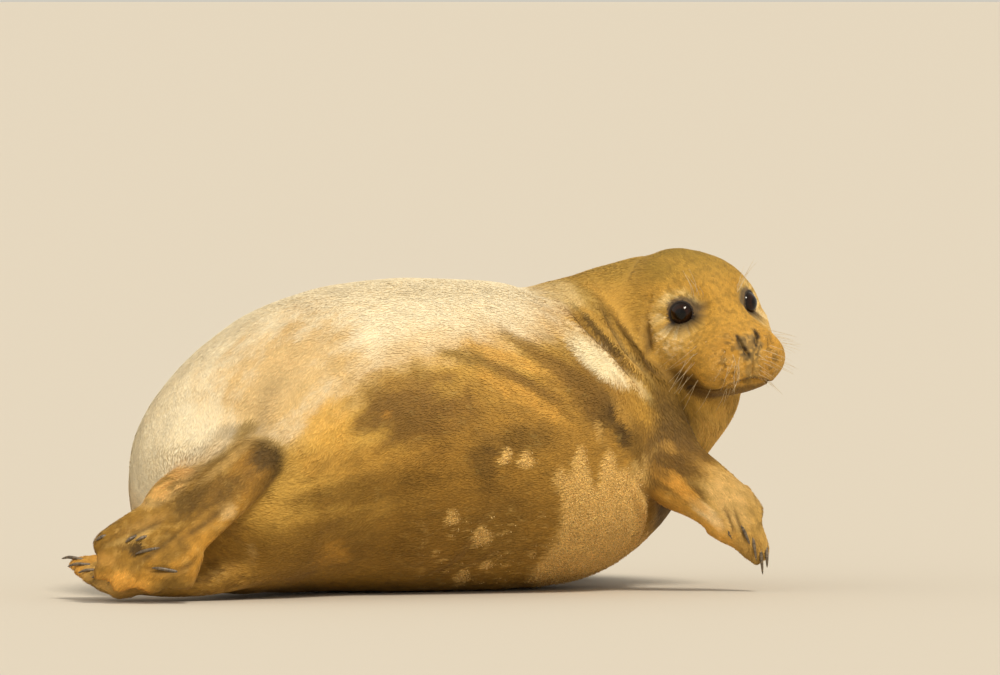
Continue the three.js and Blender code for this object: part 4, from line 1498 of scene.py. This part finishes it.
# %% Whiskers
head_at = to_head(at)
head_normals = normals @ HEAD_TURNED
hairs = []
for side_of in (1, -1):
    for row in range(5):
        for column in range(6):
            start = whisker_root(side_of, row, column)
            out = head_normals[closest(start)]
            reach = (24 + 7 * column) * (0.8 + 0.4 * rng.random()) * (1 if side_of == 1 else 0.76)
            drop = np.array([0.2, -0.16 - 0.05 * column, -0.85]) if side_of == 1 else np.array([-0.75, -0.1, -0.4])
            aim = unit(out * 0.35 + drop + 0.1 * rng.normal(size=3))
            droop = np.array([side_of * 0.05, -0.08, -0.06]) * reach
            line = [start - aim * 2, start + aim * reach * 0.3]
            line += [start + aim * reach * 0.66 + droop * 0.45, start + aim * reach + droop * 1.6]
            hairs.append(tube(from_head(line), [0.36, 0.28, 0.18, 0.07], 12, 5))
    for number in range(5):
        start = head_at[closest([side_of * (34 + 5 * (number % 3)), 24 - 5 * number, 26 + 3 * (number % 2)])]
        aim = unit(np.array([side_of * 0.5, 0.25, 0.8]) + 0.22 * rng.normal(size=3))
        reach = 30 + 16 * rng.random()
        line = [start - aim * 2, start + aim * reach * 0.4, start + aim * reach + [side_of * 5, -6, 0]]
        hairs.append(tube(from_head(line), [0.42, 0.3, 0.1], 10, 5))
points, faces, grown = join(hairs)
WHISKER = horn_material("pale whisker keratin", "#b79a68", "#efe0bd", 0.4)
whiskers = make_piece("whiskers", points, faces, WHISKER)
give(whiskers.data, "grown", np.c_[points[:, :2] * 0.1, grown * 30])
print("whiskers and brow hairs:", len(hairs))

# %% [markdown]
# Beach sand sticks to the damp flank. Its grains are about a millimetre across, so each is a tiny closed block, and
# a few thousand of them give the patch its rough look close up.

# %% Grains of sand
grain_at = np.flatnonzero(root_sand > 0.2)
grain_at = grain_at[rng.random(len(grain_at)) < 0.9 * root_sand[grain_at]]
grain_far = at_roots(on_head)[grain_at]
corners = np.array([(1, 1, 1), (1, -1, -1), (-1, 1, -1), (-1, -1, 1)]) * 0.42
above = (1.2 + 1.0 * rng.random(len(grain_at))) * (1 - 0.6 * grain_far)
centre = root[grain_at] + root_normal[grain_at] * above[:, None]
scale = ((0.7 + 0.9 * rng.random(len(grain_at))) * (1 - 0.35 * grain_far))[:, None, None]
shape = corners[None] * scale + 0.18 * rng.normal(size=(len(grain_at), 4, 3))
points = (centre[:, None] + shape).reshape(-1, 3)
points[:, 2] = np.maximum(points[:, 2], 0.1)
faces = np.array([(0, 1, 2), (0, 3, 1), (0, 2, 3), (1, 3, 2)])
faces = (faces[None] + 4 * np.arange(len(grain_at))[:, None, None]).reshape(-1, 3)


def sand_material():
    """Quartz sand: IOR 1.54, rough, each grain its own tone from pale straw to brown."""
    material, tree, shader = new_material("beach sand grains")
    spot_in = add_node(tree, "ShaderNodeTexCoord")
    tone = add_node(tree, "ShaderNodeTexNoise", [("Vector", spot_in.outputs["Object"])], Scale=700.0, Detail=1.0)
    ramp = ramp_node(tree, tone.outputs["Fac"], (0.35, "#ad8032"), (0.65, "#ffe09a"))
    set_node(tree, shader, [("Base Color", ramp.outputs["Color"])], Roughness=0.6, IOR=QUARTZ_IOR)
    return material


if len(grain_at):
    grains = make_piece("sand_grains", points, faces, sand_material())
    grains.data.polygons.foreach_set("use_smooth", np.zeros(len(faces), bool))
print("sand grains:", len(grain_at))

# %% [markdown]
# The studio is plain: a pale floor that meets a pale world, a soft key lamp high on the right, a weaker fill on the
# left, and a long lens from low down, which keeps the animal's proportions true.

# %% Floor, lamps and camera
floor_mesh = bpy.data.meshes.new("floor")
FLOOR = 6000  # metres to each side, so that its edge lies on the horizon
edge = [(x * FLOOR, y * FLOOR, 0) for x, y in ((-1, -1), (1, -1), (1, 1), (-1, 1))]
floor_mesh.from_pydata(edge, [], [(0, 1, 2, 3)])
floor = bpy.data.objects.new("floor", floor_mesh)
scene.collection.objects.link(floor)
paper, paper_tree, paper_shader = new_material("studio paper")
grey = add_node(paper_tree, "ShaderNodeTexNoise", Scale=3.0, Detail=2.0)
tone = ramp_node(paper_tree, grey.outputs["Fac"], (0, "#cfc8bb"), (1, "#d3ccbf"))
set_node(paper_tree, paper_shader, [("Base Color", tone.outputs["Color"])], Roughness=0.9)
floor_mesh.materials.append(paper)

for name, energy, where, softness, tint in (
    ("key", 2.3, (0.4, -0.6, 0.9), 14, "#fff4e2"),
    ("fill", 0.5, (-0.95, -0.32, 0.3), 100, "#fff4e4"),
):
    data = bpy.data.lights.new(name, "SUN")
    data.energy, data.angle, data.color = energy, math.radians(softness), linear(tint)[:3]
    lamp = bpy.data.objects.new(name, data)
    lamp.location = where
    lamp.rotation_euler = (-lamp.location).to_track_quat("-Z", "Y").to_euler()
    scene.collection.objects.link(lamp)

world = bpy.data.worlds.new("studio air")
world.use_nodes = True
air = world.node_tree.nodes["Background"]
air.inputs["Color"].default_value, air.inputs["Strength"].default_value = linear("#ece6da"), 0.74
scene.view_settings.view_transform = "Standard"
scene.world = world

CAMERA_AT, LOOKS_DOWN, LENS = (0.1092, -16.0, 0.826), 1.69, 411.4  # metres, degrees, millimetres
camera_data = bpy.data.cameras.new("camera")
camera_data.lens, camera_data.sensor_width, camera_data.clip_end = LENS, 36, 1.5 * FLOOR
camera = bpy.data.objects.new("camera", camera_data)
camera.location = CAMERA_AT
camera.rotation_euler = (math.radians(90 - LOOKS_DOWN), 0, 0)
scene.collection.objects.link(camera)
scene.camera = camera
